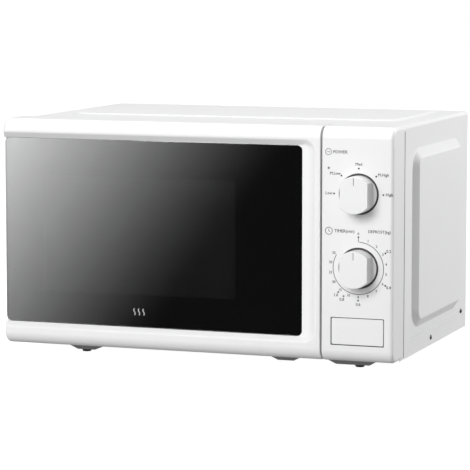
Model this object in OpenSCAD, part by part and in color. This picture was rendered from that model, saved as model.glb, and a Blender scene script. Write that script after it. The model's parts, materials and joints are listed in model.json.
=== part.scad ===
// Countertop microwave oven with a hinged glass door, two dials and a push-button door release.
// Shapes are laid out from the front's lower left corner, seen from the front: x runs to the
// right, y to the back from the crest of the door, z up. placed() moves them to the part's own
// frame, which has its origin in the middle of the base, on the surface that the feet stand on.

/* [Front] */
// Width of the front, door and control panel together
front_w = 439.5; // [400:1:530]
// Height of the front
front_h = 246.4; // [246:1:320]
// Depth of the door and the control panel, from the crest to their back edge
front_t = 38; // [38:0.5:48]
// Width of the control panel
panel_w = 77.1; // [76:0.5:110]
// Gap between the door and the control panel
door_gap = 2; // [1.5:0.5:3]
// Gap between the back of the door and the front plate
back_gap = 2; // [2:0.5:4]
// Radius of the front's upper edge
top_round = 13; // [6:1:16]
// Radius of the front's lower edge
low_round = 13; // [4:1:13]
// Rise of the front's lower edge above the level that heights are measured from
front_rise = 1.5; // [0:0.5:2.5]
// Radius of the front's upright edges
side_round = 4; // [2:0.5:5]

/* [Door] */
// Depth of the glass behind the crest
glass_sink = 5; // [4:0.5:6]
// Thickness of the door glass
glass_t = 3.2; // [3:0.2:4]
// Height of the band above the glass
top_band = 20.4; // [16:0.4:26]
// Height of the band below the glass
low_band = 25.6; // [20:0.4:32]
// Width of the stile right of the glass
stile_w = 21; // [18:0.5:26]
// Width of the scooped slope between the glass and the stile
scoop_w = 15; // [10:0.5:16]
// Radius of the glass's right corners
glass_round = 6; // [3:1:10]
// Wall of the door frame
door_wall = 2.4; // [2:0.2:3]
// Width of the see-through window
window_w = 221; // [160:1:240]
// Height of the see-through window
window_h = 126; // [90:1:150]
// Distance of the window from the door's left edge
window_x = 44; // [40:1:60]
// Height of the window above the front's lower edge
window_z = 60.5; // [50:0.5:80]
// Distance of the hinge axis from the door's left edge
hinge_x = 6; // [5.5:0.5:8]
// Distance of the hinge axis from the crest of the door
hinge_y = 31; // [30:0.5:31]
// Radius of the hinge pins
hinge_pin_r = 2.5; // [2:0.1:3]

/* [Cabinet] */
// Distance of the cabinet's sides inside the front's sides
side_inset = 4.5; // [3:0.5:8]
// Drop of the cabinet's top below the front's top
top_drop = 1.4; // [1:0.2:4]
// Depth of the cabinet's back edge behind the crest of the door
cabinet_back = 312.5; // [300:0.5:380]
// Thickness of the sheet steel
sheet_t = 0.7; // [0.6:0.1:1.2]
// Radius of the cabinet's long upper edges
cabinet_round = 4; // [3:0.5:8]
// Height of the pressed side panels
press_h = 6; // [3:0.5:6]
// Depth of the pressed rear bulge
bulge_h = 26.4; // [20:0.2:30]

/* [Cavity] */
// Inner width of the oven cavity
cavity_w = 306; // [255:1:310]
// Inner height of the oven cavity
cavity_h = 206; // [190:1:208]
// Inner depth of the oven cavity
cavity_d = 290; // [280:1:291]
// Distance of the cavity's left wall from the front's left side
cavity_x = 22; // [20:0.5:24]
// Height of the cavity's floor above the front's lower edge
cavity_z = 24; // [23:0.5:28]
// Radius of the glass tray
tray_r = 122.5; // [100:0.5:132]
// Radius of the circle that the rollers run on
roller_track_r = 88; // [70:1:95]
// Radius of the rollers
roller_r = 7; // [6:0.5:9]

/* [Controls] */
// Distance of the dials from the front's right side
dial_inset = 37.5; // [36:0.5:40]
// Height of the power dial above the front's lower edge
power_z = 177.3; // [170:0.1:182]
// Height of the timer dial above the front's lower edge
timer_z = 100.5; // [96:0.1:110]
// Radius of the round recess that a dial sits in
recess_r = 21.4; // [20:0.2:22]
// Depth of the dials' recesses
recess_d = 2.6; // [2:0.2:3.4]
// Radius of a dial
grip_r = 19.3; // [16:0.1:19.6]
// Distance between the two flats of a dial's grip
grip_w = 29.5; // [24:0.5:32]
// Height of a dial over the panel
dial_h = 18.6; // [16:0.2:22]
// Radius of the dial shafts
shaft_r = 3; // [2.5:0.1:4]
// Width of the door button
button_w = 56; // [48:0.5:58]
// Height of the door button
button_h = 27.6; // [24:0.2:32]

/* [Feet] */
// Height of the front's lower edge above the surface
foot_h = 11.8; // [10:0.2:14]
// Radius of the rubber feet
foot_r = 5; // [4:0.5:8]
// Distance of the front feet behind the crest
front_foot_y = 57; // [54:1:70]
// Distance of the rear feet behind the crest
rear_foot_y = 268; // [220:1:270]

/* [Fits] */
// Radial clearance of a pin in its bore
running = 0.06; // [0.03:0.01:0.1]
// Gap between parts that lie beside each other
gap = 0.5; // [0.3:0.1:1]

/* [Hidden] */
$fn = 48;
enamel = "whitesmoke";
steel = "silver";
dark = "dimgray";

total_back = cabinet_back + bulge_h;
// Front and cabinet
door_w = front_w - panel_w - door_gap;
panel_x = door_w + door_gap;
plate_y = front_t + back_gap;
cabinet_y = plate_y + 1.5;
cabinet_top = front_h - top_drop;
cabinet_low = -1.5;
cabinet_left = side_inset;
cabinet_right = front_w - side_inset;
inner_left = cabinet_left + sheet_t + gap;
inner_right = cabinet_right - sheet_t - gap;
dial_x = front_w - dial_inset;
dial_standoff = 0.8;
dial_shelf = 0.5;
cup_wall = 1.6;
panel_wall = 2.5;
unit_y = recess_d + cup_wall + 0.2;
panel_screw_spots = [for (x = [panel_x + 7.5, front_w - 12.5], z = [timer_z - 42, front_h - 20]) [x, z]];

// Cavity, with the wall of its liner
cavity_y = plate_y + sheet_t;
cavity_right = cavity_x + cavity_w;
cavity_top = cavity_z + cavity_h;
cavity_back = cavity_y + cavity_d;
table_x = cavity_x + cavity_w / 2;
table_y = cavity_y + cavity_d / 2;
outer_wall_x = cavity_right + sheet_t;

// Screws
screw_r = 1.6;
screw_hole_r = 1.7;
cabinet_hole_r = 1.9;
screw_head_r = 3.2;
screw_head_h = 1.6;

// Door
glass_x = 0.6;
glass_right = door_w - stile_w;
glass_top = front_h - top_band;
glass_back = glass_sink + glass_t;
bevel_rise = 6;
bed_t = 2.4;
edge_cut = 3.2;
screen_y = 20;
choke_x0 = 12;
choke_right = door_w - 6;
choke_z0 = 9;
choke_top = front_h - 9;
latch_x = cavity_right + 14;
latch_t = 4;
latch_travel = 4.5;
hook_z = [66, 186];
hook_h = 7;
barb_drop = 3;
finger_z = hook_z[0] + 22;
finger_h = 4;
prong_z = [hook_z[0], finger_z, hook_z[1]];
hook_end = plate_y + 27;
hinge_arm_t = 3;
hinge_z = [8, front_h - 8 - hinge_arm_t];

// Controls
button_x = panel_x + (panel_w - button_w) / 2 + 0.2;
button_z = 20.2;
button_gap = 0.5;
stem_z = button_z + button_h / 2;
stem_x = button_x + button_w / 2;
lever_y = plate_y + 14;
lever_z = stem_z + 16;
lever_arm = 16;
lift_arm = 14;

// Cabinet
press_y = cabinet_y + 43;
press_back = cabinet_back - 35;
press_z = 26.6;
press_top = cabinet_top - 27.3;
crown_rise = 1.5;
crown_x = 26;
crown_y = 74;
cabinet_screw_spots = [[cabinet_back - 23, 18.8], [162.5, 7]];

// Base
base_t = 0.8;
base_z = 2;
boss_low = -foot_h + 2.6;
boss_top = base_z;
boss_slope_x = 18;
boss_slope_y = 10;
left_boss_x = table_x - 100.2;
right_boss_x = front_w - 58.7;
// Pressed bosses: middle of the boss in x and y, its length and width
bosses = [
    [left_boss_x, front_foot_y + 6, 56, 44], [right_boss_x, front_foot_y + 6, 73, 44],
    [left_boss_x, rear_foot_y, 56, 44], [right_boss_x, rear_foot_y, 73, 44],
    [table_x + 129.8, front_foot_y + 8, 54, 40]
];
foot_spots = [
    [left_boss_x - 1.8, front_foot_y], [right_boss_x + 6.2, front_foot_y],
    [left_boss_x - 1.8, rear_foot_y], [right_boss_x + 6.2, rear_foot_y]
];

// Rear
bulge_x0 = cavity_x - 8;
bulge_right = cavity_right + 8;
bulge_z0 = cavity_z - 8;
bulge_top = cavity_top + 7;
bush_x = front_w - 40;
bush_z = 34;
bush_r = 8;
cord_r = 3.6;
rear_screw_spots = [
    [inner_left + 5, 60], [inner_left + 5, 200], [inner_right - 5, 60], [inner_right - 5, 200],
    [120, cabinet_top - 4.2], [300, cabinet_top - 4.2]
];

// Oven cavity
turned_z = base_z + 10 + gap;
port_y = cavity_y + 116;
port_l = 84;
port_z = cavity_z + 128;
port_h = 44;
guide_h = 20;
guide_t = 1;
tube_y = port_y + port_l / 2;
tube_z = port_z + port_h / 2;
tube_x = outer_wall_x + guide_h;

// Electrical parts
core_x = outer_wall_x + 9;
core_y = plate_y + 66;
core_z = base_z + base_t;
cap_x = outer_wall_x + 20;
cap_y = core_y + 104;
cap_z = base_z + base_t + 0.8;
fan_x = (outer_wall_x + inner_right) / 2;
fan_y = cabinet_back - 42;
fan_z = 142;
fan_r = 40;
lamp_y = cavity_back - 40;
lamp_z = cavity_top - 28;
board_x = outer_wall_x + 6;
board_y = cavity_y + 54;
board_z = cabinet_top - 26;

// Turntable
hub_r = 11;
hub_z = cavity_z + 1.4;
tray_low = cavity_z + 2 * roller_r + 0.4;
tray_t = 4;
motor_z = base_z + base_t + 1.2;
wing_h = tray_low - cavity_z + 1;
roller_angles = [90, 210, 330];
roller_axle_r = 1.8;

// Latch, switches and release
bracket_x = latch_x - 6;
bracket_right = latch_x + latch_t + 6;
catch_end = hook_end - 9.4;
switch_x = bracket_x + 2;
switch_z = [hook_z[1] + 4, hook_z[0] + 4, finger_z + finger_h / 2];
axle_r = 2;

// Stands the model, drawn from the front's lower left corner, in its own frame
module placed()
    translate([-front_w / 2, -(total_back - dial_h) / 2, foot_h]) children();

// Box between a low and a high corner
module block(low, high) translate(low) cube(high - low);

// Cylinders along the three axes, from a point
module along_x(p, r, h) translate(p) rotate([0, 90, 0]) cylinder(r = r, h = h);
module along_y(p, r, h) translate(p) rotate([-90, 0, 0]) cylinder(r = r, h = h);
module along_z(p, r, h) translate(p) cylinder(r = r, h = h);

// Flat outline of a rectangle with round corners
module round_rect(w, h, r) {
    translate([r, 0]) square([w - 2 * r, h]);
    translate([0, r]) square([w, h - 2 * r]);
    for (x = [r, w - r], y = [r, h - r]) translate([x, y]) circle(r);
}

// Outline in x and z, made solid from y0 to y1
module facing(y0, y1) translate([0, y1, 0]) rotate([90, 0, 0]) linear_extrude(y1 - y0) children();

// Outline in y and z, made solid from x0 to x1
module across(x0, x1)
    translate([x0, 0, 0]) rotate([90, 0, 90]) linear_extrude(x1 - x0) children();

// ---- Cabinet ----

// Side panel or top panel raised from a sheet: a low rim and a smaller crown, as one hull
module raised(w, h, r, rise, slope) hull() {
    linear_extrude(0.01) round_rect(w, h, r, $fn = 32);
    translate([slope, slope, rise - 0.01])
        linear_extrude(0.01) round_rect(w - 2 * slope, h - 2 * slope, r - slope / 2, $fn = 32);
}

module side_press(skin)
    translate([cabinet_right - skin, press_y + skin, press_z + skin]) rotate([90, 0, 90])
        raised(press_back - press_y - 2 * skin, press_top - press_z - 2 * skin, 24, press_h, 9.3);

module top_press(skin)
    translate([cabinet_left + crown_x + skin, cabinet_y + crown_y + skin, cabinet_top - skin])
        raised(cabinet_right - cabinet_left - 2 * crown_x - 2 * skin,
               cabinet_back - cabinet_y - crown_y - 24 - 2 * skin, 16, crown_rise, 3);

module cabinet_outline(inset) {
    w = cabinet_right - cabinet_left - 2 * inset;
    translate([cabinet_left + inset, cabinet_low])
        difference() {
            round_rect(w, cabinet_top - cabinet_low - inset, cabinet_round - inset);
            if (inset > 0) translate([-1, -1]) square([1, 1]);
        }
    translate([cabinet_left + inset, cabinet_low - 1]) square([w, cabinet_round + 2]);
}

module outer_cabinet() color(enamel) placed() difference() {
    union() {
        intersection() {
            facing(cabinet_y, cabinet_back) cabinet_outline(0);
            block([0, 0, cabinet_low], [front_w, total_back, front_h]);
        }
        side_press(0);
        translate([front_w, 0, 0]) mirror([1, 0, 0]) side_press(0);
        top_press(0);
    }
    facing(cabinet_y - 1, cabinet_back + 1) cabinet_outline(sheet_t);
    side_press(sheet_t);
    translate([front_w, 0, 0]) mirror([1, 0, 0]) side_press(sheet_t);
    top_press(sheet_t);
    // Two fine creases along the foot of each side
    for (x = [cabinet_left - 1, cabinet_right - 0.3], z = [14.2, 18.4])
        block([x, cabinet_y + 38, z - 0.4], [x + 1.3, cabinet_back - 14, z + 0.4]);
    for (s = cabinet_screw_spots) along_x([-1, s[0], s[1]], cabinet_hole_r, front_w + 2);
}

// Identical screws: two on each side of the cabinet and six on the back
module cabinet_screws() color(steel) placed() {
    for (side = [0, 1], s = cabinet_screw_spots)
        translate([side * front_w, 0, 0]) mirror([side, 0, 0])
            translate([cabinet_left, s[0], s[1]]) rotate([0, 90, 0]) cabinet_screw();
    for (s = rear_screw_spots)
        translate([s[0], cabinet_back - 0.6, s[1]]) rotate([90, 0, 0]) cabinet_screw();
}

module cabinet_screw() {
    translate([0, 0, -screw_head_h]) cylinder(r = screw_head_r, h = screw_head_h);
    translate([0, 0, -0.01]) cylinder(r = screw_r, h = 1.3);
}

// ---- Base ----

module base_plate() color(dark) placed() difference() {
    union() {
        block([inner_left, cabinet_y, base_z], [inner_right, cabinet_back - 1.5, base_z + base_t]);
        // Upturned edges
        for (x = [inner_left, inner_right - base_t])
            block([x, cabinet_y, base_z], [x + base_t, cabinet_back - 1.5, base_z + 10]);
        for (b = bosses) boss_shell(b, boss_low);
    }
    for (f = foot_spots) along_z([f[0], f[1], boss_low - 2], 2, 20);
    for (s = cabinet_screw_spots) along_x([-1, s[0], s[1]], cabinet_hole_r, front_w + 2);
    // Air slots under the transformer
    for (i = [0:7]) block([front_w - 90 + i * 9, 190, base_z - 1], [front_w - 86 + i * 9, 222, base_z + 2]);
}

// Pressed boss as a thin box with sloping sides, open to the inside of the oven
module boss_shell(b, low) translate([b[0], b[1], 0]) {
    for (m = [0, 1]) {
        mirror([m, 0, 0]) intersection() {
            boss_solid(b[2] / 2, b[3] / 2, low);
            facing(-b[3] / 2, b[3] / 2) boss_wall(b[2] / 2, boss_slope_x, low);
        }
        mirror([0, m, 0]) intersection() {
            boss_solid(b[2] / 2, b[3] / 2, low);
            across(-b[2] / 2, b[2] / 2) boss_wall(b[3] / 2, boss_slope_y, low);
        }
    }
    block([boss_slope_x - b[2] / 2, boss_slope_y - b[3] / 2, low],
          [b[2] / 2 - boss_slope_x, b[3] / 2 - boss_slope_y, low + base_t]);
}

// Outline of a sloping wall, seen along it
module boss_wall(half, slope, low) polygon([
    [-half, boss_top], [slope - half, low], [slope - half + 2 * base_t, low], [2 * base_t - half, boss_top]
]);

// The filled shape of a boss, as two crossed wedges
module boss_solid(half_x, half_y, low) intersection() {
    facing(-half_y - 1, half_y + 1) boss_wedge(half_x, boss_slope_x, low);
    across(-half_x - 1, half_x + 1) boss_wedge(half_y, boss_slope_y, low);
}

module boss_wedge(half, slope, low) polygon([
    [-half, boss_top + 0.1], [half, boss_top + 0.1], [half - slope, low], [slope - half, low]
]);

module rubber_feet() color("black") placed()
    for (f = foot_spots) {
        along_z([f[0], f[1], -foot_h], foot_r, boss_low + foot_h);
        along_z([f[0], f[1], boss_low - 0.01], 1.8, base_t + 1.2);
        along_z([f[0], f[1], boss_low + base_t], 3, 1.2);
    }

// ---- Rear ----

module rear_panel() color(steel) placed() difference() {
    union() {
        facing(cabinet_back - 1.4, cabinet_back - 0.6)
            translate([inner_left, base_z + base_t + 0.1])
                round_rect(inner_right - inner_left, cabinet_top - sheet_t - gap - base_z - base_t, 3);
        facing(cabinet_back - 1, total_back) bulge_outline(0);
    }
    facing(cabinet_back - 3, total_back - 0.8) bulge_outline(0.8);
    // Rows of air slots beside the bulge and on it
    for (row = [0:8], col = [0:2])
        vent_slot([bulge_right + 14 + col * 25, 80 + row * 8], cabinet_back);
    for (row = [0:3], col = [0:5])
        vent_slot([70 + col * 34, 190 + row * 8], total_back);
    for (s = rear_screw_spots) along_y([s[0], cabinet_back - 3, s[1]], screw_hole_r, 5);
    along_y([bush_x, cabinet_back - 3, bush_z], bush_r, 5);
}

module bulge_outline(inset) translate([bulge_x0 + inset, bulge_z0 + inset])
    round_rect(bulge_right - bulge_x0 - 2 * inset, bulge_top - bulge_z0 - 2 * inset, 14 - inset);

module vent_slot(at, back) facing(back - 3, back + 1) translate(at) square([16, 2.6]);

module cord_bush() color("black") placed() difference() {
    union() {
        along_y([bush_x, cabinet_back - 8, bush_z], bush_r, 13);
        along_y([bush_x, cabinet_back - 0.6, bush_z], bush_r + 2.5, 3);
        along_y([bush_x, cabinet_back - 4.4, bush_z], bush_r + 1.5, 3);
    }
    along_y([bush_x, cabinet_back - 9, bush_z], cord_r, 20);
}

// ---- Oven cavity ----

module front_plate() color(steel) placed() difference() {
    union() {
        facing(plate_y, cavity_y) translate([inner_left, base_z])
            round_rect(inner_right - inner_left, cabinet_top - sheet_t - gap - base_z, 3);
        // Turned edges inside the cabinet's front
        block([inner_left, plate_y, turned_z], [inner_left + sheet_t, cabinet_y + 8, cabinet_top - 6]);
        block([inner_right - sheet_t, plate_y, turned_z], [inner_right, cabinet_y + 8, cabinet_top - 6]);
    }
    block([cavity_x, plate_y - 1, cavity_z], [cavity_right, cavity_y + 1, cavity_top]);
    // Slots for the hooks, and a window for the dials' units and the release button
    for (z = prong_z)
        block([latch_x - 3, plate_y - 1, z - 6], [latch_x + latch_t + 3, cavity_y + 1, z + 15]);
    block([dial_x - 27, plate_y - 1, timer_z - 30], [dial_x + 28, cavity_y + 1, power_z + 26]);
    block([stem_x - 8, plate_y - 1, stem_z - 8], [stem_x + 8, cavity_y + 1, stem_z + 8]);
    for (s = panel_screw_spots) along_y([s[0], plate_y - 1, s[1]], screw_hole_r, 4);
}

module cavity_liner() color("gainsboro") placed() difference() {
    facing(cavity_y, cavity_back + sheet_t) translate([cavity_x - sheet_t, cavity_z - sheet_t])
        square([cavity_w + 2 * sheet_t, cavity_h + 2 * sheet_t]);
    block([cavity_x, cavity_y - 1, cavity_z], [cavity_right, cavity_back, cavity_top]);
    along_z([table_x, table_y, cavity_z - 2], 8, 4);
    // Port of the waveguide, lamp holes and air holes
    block([cavity_right - 1, port_y, port_z], [cavity_right + 2, port_y + port_l, port_z + port_h]);
    for (i = [0:3], j = [0:2]) along_x([cavity_right - 1, lamp_y - 9 + i * 6, lamp_z - 6 + j * 6], 1.6, 3);
    for (i = [0:4], j = [0:2])
        along_x([cavity_x - 2, cavity_y + 40 + i * 6, cavity_top - 40 + j * 6], 1.6, 3);
}

module waveguide() color(steel) placed() difference() {
    block([outer_wall_x, port_y - 8, port_z - 8],
          [outer_wall_x + guide_h, port_y + port_l + 8, port_z + port_h + 8]);
    block([outer_wall_x - 1, port_y - 7, port_z - 7],
          [outer_wall_x + guide_h - guide_t, port_y + port_l + 7, port_z + port_h + 7]);
    along_x([outer_wall_x, tube_y, tube_z], 10.2, guide_h + 2);
}

module waveguide_cover() color("tan") placed()
    across(cavity_right - 0.6, cavity_right)
        translate([port_y - 6, port_z - 6]) round_rect(port_l + 12, port_h + 12, 4);

module magnetron() color("lightslategray") placed() difference() {
    union() {
        // Mounting plate, yoke frame, cooling fins, anode and filter box
        block([tube_x, tube_y - 46, tube_z - 38], [tube_x + 1.5, tube_y + 46, tube_z + 38]);
        block([tube_x, tube_y - 40, tube_z - 34], [tube_x + 52, tube_y + 40, tube_z - 32]);
        block([tube_x, tube_y - 40, tube_z + 32], [tube_x + 52, tube_y + 40, tube_z + 34]);
        block([tube_x + 50, tube_y - 40, tube_z - 34], [tube_x + 52, tube_y + 40, tube_z + 34]);
        for (i = [0:6]) block([tube_x + 12 + i * 4.4, tube_y - 38, tube_z - 32.5],
                              [tube_x + 12.8 + i * 4.4, tube_y + 38, tube_z + 32.5]);
        along_x([tube_x + 1, tube_y, tube_z], 19, 50);
        block([tube_x + 51.5, tube_y - 32, tube_z - 30], [tube_x + 78, tube_y + 32, tube_z + 30]);
    }
    along_x([tube_x - 1, tube_y, tube_z], 10.2, 6);
}

module magnetron_antenna() color("peru") placed() {
    along_x([tube_x - 16, tube_y, tube_z], 7, 21);
    along_x([tube_x + 1, tube_y, tube_z], 10.1, 3.9);
}

// ---- Electrical parts ----

module transformer_core() color(dark) placed() difference() {
    block([core_x, core_y, core_z], [core_x + 84, core_y + 56, core_z + 70]);
    for (z = [core_z + 14, core_z + 44])
        block([core_x + 14, core_y - 1, z], [core_x + 70, core_y + 57, z + 12]);
}

module transformer_coils() color("firebrick") placed() difference() {
    block([core_x + 14.3, core_y - 16, core_z + 14.3], [core_x + 69.7, core_y + 72, core_z + 55.7]);
    block([core_x + 22, core_y - 17, core_z + 25.7], [core_x + 62, core_y + 73, core_z + 44.3]);
    block([core_x, core_y - 0.3, core_z + 25.7], [core_x + 84, core_y + 56.3, core_z + 44.3]);
}

module hv_capacitor() color(steel) placed() {
    translate([cap_x, cap_y, cap_z]) linear_extrude(74) round_rect(54, 34, 15);
    for (x = [14, 40]) translate([cap_x + x - 3, cap_y + 16.6, cap_z + 74]) cube([6, 0.8, 9]);
}

module capacitor_clamp() color(steel) placed() {
    difference() {
        translate([cap_x - 1.1, cap_y - 1.1, cap_z - 0.8]) linear_extrude(34) round_rect(56.2, 36.2, 16.1);
        translate([cap_x - 0.1, cap_y - 0.1, cap_z]) linear_extrude(60) round_rect(54.2, 34.2, 15.1);
    }
    block([cap_x - 14, cap_y + 9, cap_z - 0.8], [cap_x - 0.5, cap_y + 25, cap_z + 0.2]);
}

module hv_diode() color("black") placed() {
    translate([cap_x + 14, cap_y - 12, cap_z + 30]) cube([26, 9, 8]);
    along_x([cap_x + 2, cap_y - 7.5, cap_z + 34], 0.7, 12.01);
    along_x([cap_x + 39.99, cap_y - 7.5, cap_z + 34], 0.7, 10);
}

module fan_duct() color("darkgray") placed() difference() {
    facing(fan_y, fan_y + 26) translate([fan_x - 46, fan_z - 46]) round_rect(92, 92, 8);
    facing(fan_y + 2, fan_y + 27) translate([fan_x - 44, fan_z - 44]) round_rect(88, 88, 6);
    along_y([fan_x, fan_y - 1, fan_z], fan_r + 2, 5);
}

module fan_motor() color("slategray") placed() {
    difference() {
        block([fan_x - 30, fan_y + 16, fan_z - 24], [fan_x + 30, fan_y + 32, fan_z + 24]);
        along_y([fan_x, fan_y + 10, fan_z], 2 + running, 15);
    }
    for (x = [-1, 1]) block([fan_x + x * 37 - 7, fan_y + 19, fan_z - 5],
                            [fan_x + x * 37 + 7, fan_y + 22, fan_z + 5]);
}

module fan_blade() color("ivory") placed() {
    along_y([fan_x, fan_y + 3, fan_z], 9, 10);
    along_y([fan_x, fan_y + 12, fan_z], 2, 12);
    for (i = [0:4])
        translate([fan_x, fan_y + 8, fan_z]) rotate([0, i * 72, 0])
            translate([0, 0, 6]) rotate([0, 0, 24]) translate([-1, -6, 0]) cube([2, 12, fan_r - 7]);
}

module cavity_lamp() color("cornsilk") placed() {
    block([outer_wall_x + 1, lamp_y - 16, lamp_z - 16], [outer_wall_x + 3, lamp_y + 16, lamp_z + 16]);
    along_x([outer_wall_x + 2.9, lamp_y, lamp_z], 9, 20);
    along_x([outer_wall_x + 22.8, lamp_y, lamp_z], 11, 16);
}

module thermal_cutout() color("tan") placed() {
    along_z([table_x + 96, table_y - 30, cavity_top + sheet_t], 8, 6);
    block([table_x + 84, table_y - 33, cavity_top + sheet_t],
          [table_x + 108, table_y - 27, cavity_top + sheet_t + 1]);
}

module filter_board() color("darkgreen") placed() {
    // Board, choke coil, fuse in its clips, and a capacitor, all hanging below it
    block([board_x, board_y, board_z], [board_x + 90, board_y + 54, board_z + 1.6]);
    along_z([board_x + 20, board_y + 18, board_z - 20], 11, 20.01);
    along_x([board_x + 44, board_y + 42, board_z - 5], 3, 30);
    block([board_x + 44, board_y + 8, board_z - 18], [board_x + 74, board_y + 22, board_z + 0.01]);
    for (x = [47, 69])
        block([board_x + x, board_y + 40, board_z - 5], [board_x + x + 2, board_y + 44, board_z + 0.01]);
}

// ---- Turntable ----

module turntable_motor() color(steel) placed() difference() {
    union() {
        along_z([table_x, table_y, motor_z], 25, 15);
        block([table_x - 38, table_y - 6, motor_z + 14], [table_x + 38, table_y + 6, motor_z + 15]);
    }
    along_z([table_x, table_y, motor_z + 6.8], 3.4 + running, 12);
}

module turntable_coupler() color("white") placed() {
    along_z([table_x, table_y, motor_z + 7.8], 3.4, hub_z - motor_z - 7);
    along_z([table_x, table_y, hub_z], hub_r, 4);
    // Three wings that drive the tray
    translate([table_x, table_y, hub_z + 3]) linear_extrude(wing_h - 3) {
        circle(7);
        for (a = [0:120:240]) rotate(a) translate([0, -3]) square([14, 6]);
    }
}

module roller_ring() color("lightgray") placed() {
    difference() {
        along_z([table_x, table_y, cavity_z + 4], roller_track_r - 5, 5);
        along_z([table_x, table_y, cavity_z + 3], roller_track_r - 12, 7);
    }
    difference() {
        along_z([table_x, table_y, cavity_z + 6], 24, 3.5);
        along_z([table_x, table_y, cavity_z + 5], 17, 6);
    }
    for (a = roller_angles) translate([table_x, table_y, cavity_z + roller_r]) rotate(a) {
        translate([22, -3, -1]) cube([roller_track_r - 32, 6, 3]);
        along_x([roller_track_r - 9, 0, 0], roller_axle_r, 14);
        along_x([roller_track_r - 11, 0, 0], 3, 6.4);
    }
}

module roller(i) color("white") placed()
    translate([table_x, table_y, cavity_z + roller_r]) rotate(roller_angles[i]) difference() {
        along_x([roller_track_r - 4, 0, 0], roller_r - 0.1, 6);
        along_x([roller_track_r - 5, 0, 0], roller_axle_r + running, 8);
    }

module rollers_a() roller(0);
module rollers_b() roller(1);
module rollers_c() roller(2);

module glass_tray() color("azure", 0.5) placed() difference() {
    translate([table_x, table_y, tray_low]) rotate_extrude($fn = 96) polygon([
        [0, 0], [tray_r - 14, 0], [tray_r - 3, 7], [tray_r, 7], [tray_r, 11], [tray_r - 5, 11],
        [tray_r - 15, tray_t], [0, tray_t]
    ]);
    // Three sockets around the coupler's wings
    for (a = [0:120:240])
        translate([table_x, table_y, tray_low - 1])
            rotate(a) translate([-1, -3.6, 0]) cube([15.8, 7.2, 3.6]);
    along_z([table_x, table_y, tray_low - 1], 7.8, 3.6);
}

// ---- Latch, switches and release ----

module latch_bracket() color("ivory") placed() difference() {
    block([bracket_x, cavity_y, hook_z[0] - 11], [bracket_right, cavity_y + 50, hook_z[1] + 26]);
    // Open middle between the two hooks, the hook channels, and the switch bays
    block([bracket_x - 1, cavity_y + 3, hook_z[0] + 50],
          [bracket_right + 1, cavity_y + 60, hook_z[1] - 20]);
    for (z = hook_z) {
        block([latch_x - 1.2, cavity_y - 1, z - 0.6],
              [latch_x + latch_t + 1.2, hook_end + 1, z + hook_h + latch_travel + 0.6]);
        block([latch_x - 1.2, catch_end, z - barb_drop - 5],
              [latch_x + latch_t + 1.2, hook_end + 1, z + 4]);
    }
    block([latch_x - 1.2, cavity_y - 1, finger_z - 0.6],
          [latch_x + latch_t + 1.2, hook_end + 1, finger_z + finger_h + latch_travel + 0.6]);
    // Bays for the switches, open to the right
    for (z = switch_z)
        block([switch_x - 0.2, hook_end + 0.9, z - 8.3], [bracket_right + 1, hook_end + 18.5, z + 8.3]);
    // Way in for the release lever, from below and from the right
    block([latch_x - 1.2, catch_end, hook_z[0] - 20], [bracket_right + 1, hook_end + 1.6, hook_z[0] - 3]);
}

module microswitch(z) difference() {
    block([switch_x, hook_end + 2, z - 8], [switch_x + 10.3, hook_end + 18, z + 8]);
    along_y([latch_x + latch_t / 2, hook_end + 1, z], 1.6 + running, 7);
    for (s = [-5, 5]) along_x([switch_x - 1, hook_end + 13, z + s], 1.5, 13);
}

module primary_switch() color("black") placed() microswitch(switch_z[0]);
module secondary_switch() color("black") placed() microswitch(switch_z[1]);
module monitor_switch() color("black") placed() microswitch(switch_z[2]);

module plunger(z) along_y([latch_x + latch_t / 2, hook_end + 0.4, z], 1.6, 5.6);
module primary_plunger() color("red") placed() plunger(switch_z[0]);
module secondary_plunger() color("red") placed() plunger(switch_z[1]);
module monitor_plunger() color("red") placed() plunger(switch_z[2]);

module release_lever() color("white") placed() difference() {
    union() {
        along_x([latch_x, lever_y, lever_z], 4.2, stem_x + 6 - latch_x);
        // Arm that the button's stem pushes
        block([stem_x - 5, lever_y - 2, lever_z - lever_arm - 5], [stem_x + 5, lever_y + 2, lever_z]);
        // Arm that lifts the lower hook
        block([latch_x, lever_y, lever_z - 2], [latch_x + latch_t, lever_y + lift_arm, lever_z + 2]);
        block([latch_x, lever_y + lift_arm - 4, lever_z - 2],
              [latch_x + latch_t, lever_y + lift_arm, hook_z[0] - barb_drop - 0.6]);
    }
    along_x([latch_x - 1, lever_y, lever_z], axle_r + running, stem_x + 8 - latch_x);
}

module lever_axle() color(steel) placed() {
    along_x([bracket_x - 2, lever_y, lever_z], axle_r, stem_x + 14 - bracket_x);
    // Cheeks that carry the axle, fixed to the front plate
    for (x = [bracket_x - 4, stem_x + 8])
        block([x, cavity_y, lever_z - 5], [x + 2.4, lever_y + 5, lever_z + 5]);
}

// ---- Controls ----

// The front's outer shape between two sides, with round upright edges where asked
module front_slab(x0, x1, left_round, right_round, inset) intersection() {
    across(x0 + inset, x1 - inset) front_corner_section(inset);
    linear_extrude(front_h) plan_outline(x0 + inset, x1 - inset, inset,
                                         max(left_round - inset, 0.2), max(right_round - inset, 0.2));
}

// Plan of the slab in x and y
module plan_outline(x0, x1, y0, rl, rr) {
    translate([x0, y0 + max(rl, rr)]) square([x1 - x0, front_t - y0 - max(rl, rr)]);
    translate([x0 + rl, y0]) square([x1 - x0 - rl - rr, front_t - y0]);
    translate([x0 + rl, y0 + rl]) circle(rl);
    translate([x1 - rr, y0 + rr]) circle(rr);
    if (rr > rl) translate([x0, y0 + rl]) square([rl, rr - rl + 0.01]);
    if (rl > rr) translate([x1 - rr, y0 + rr]) square([rr, rl - rr + 0.01]);
}

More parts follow.
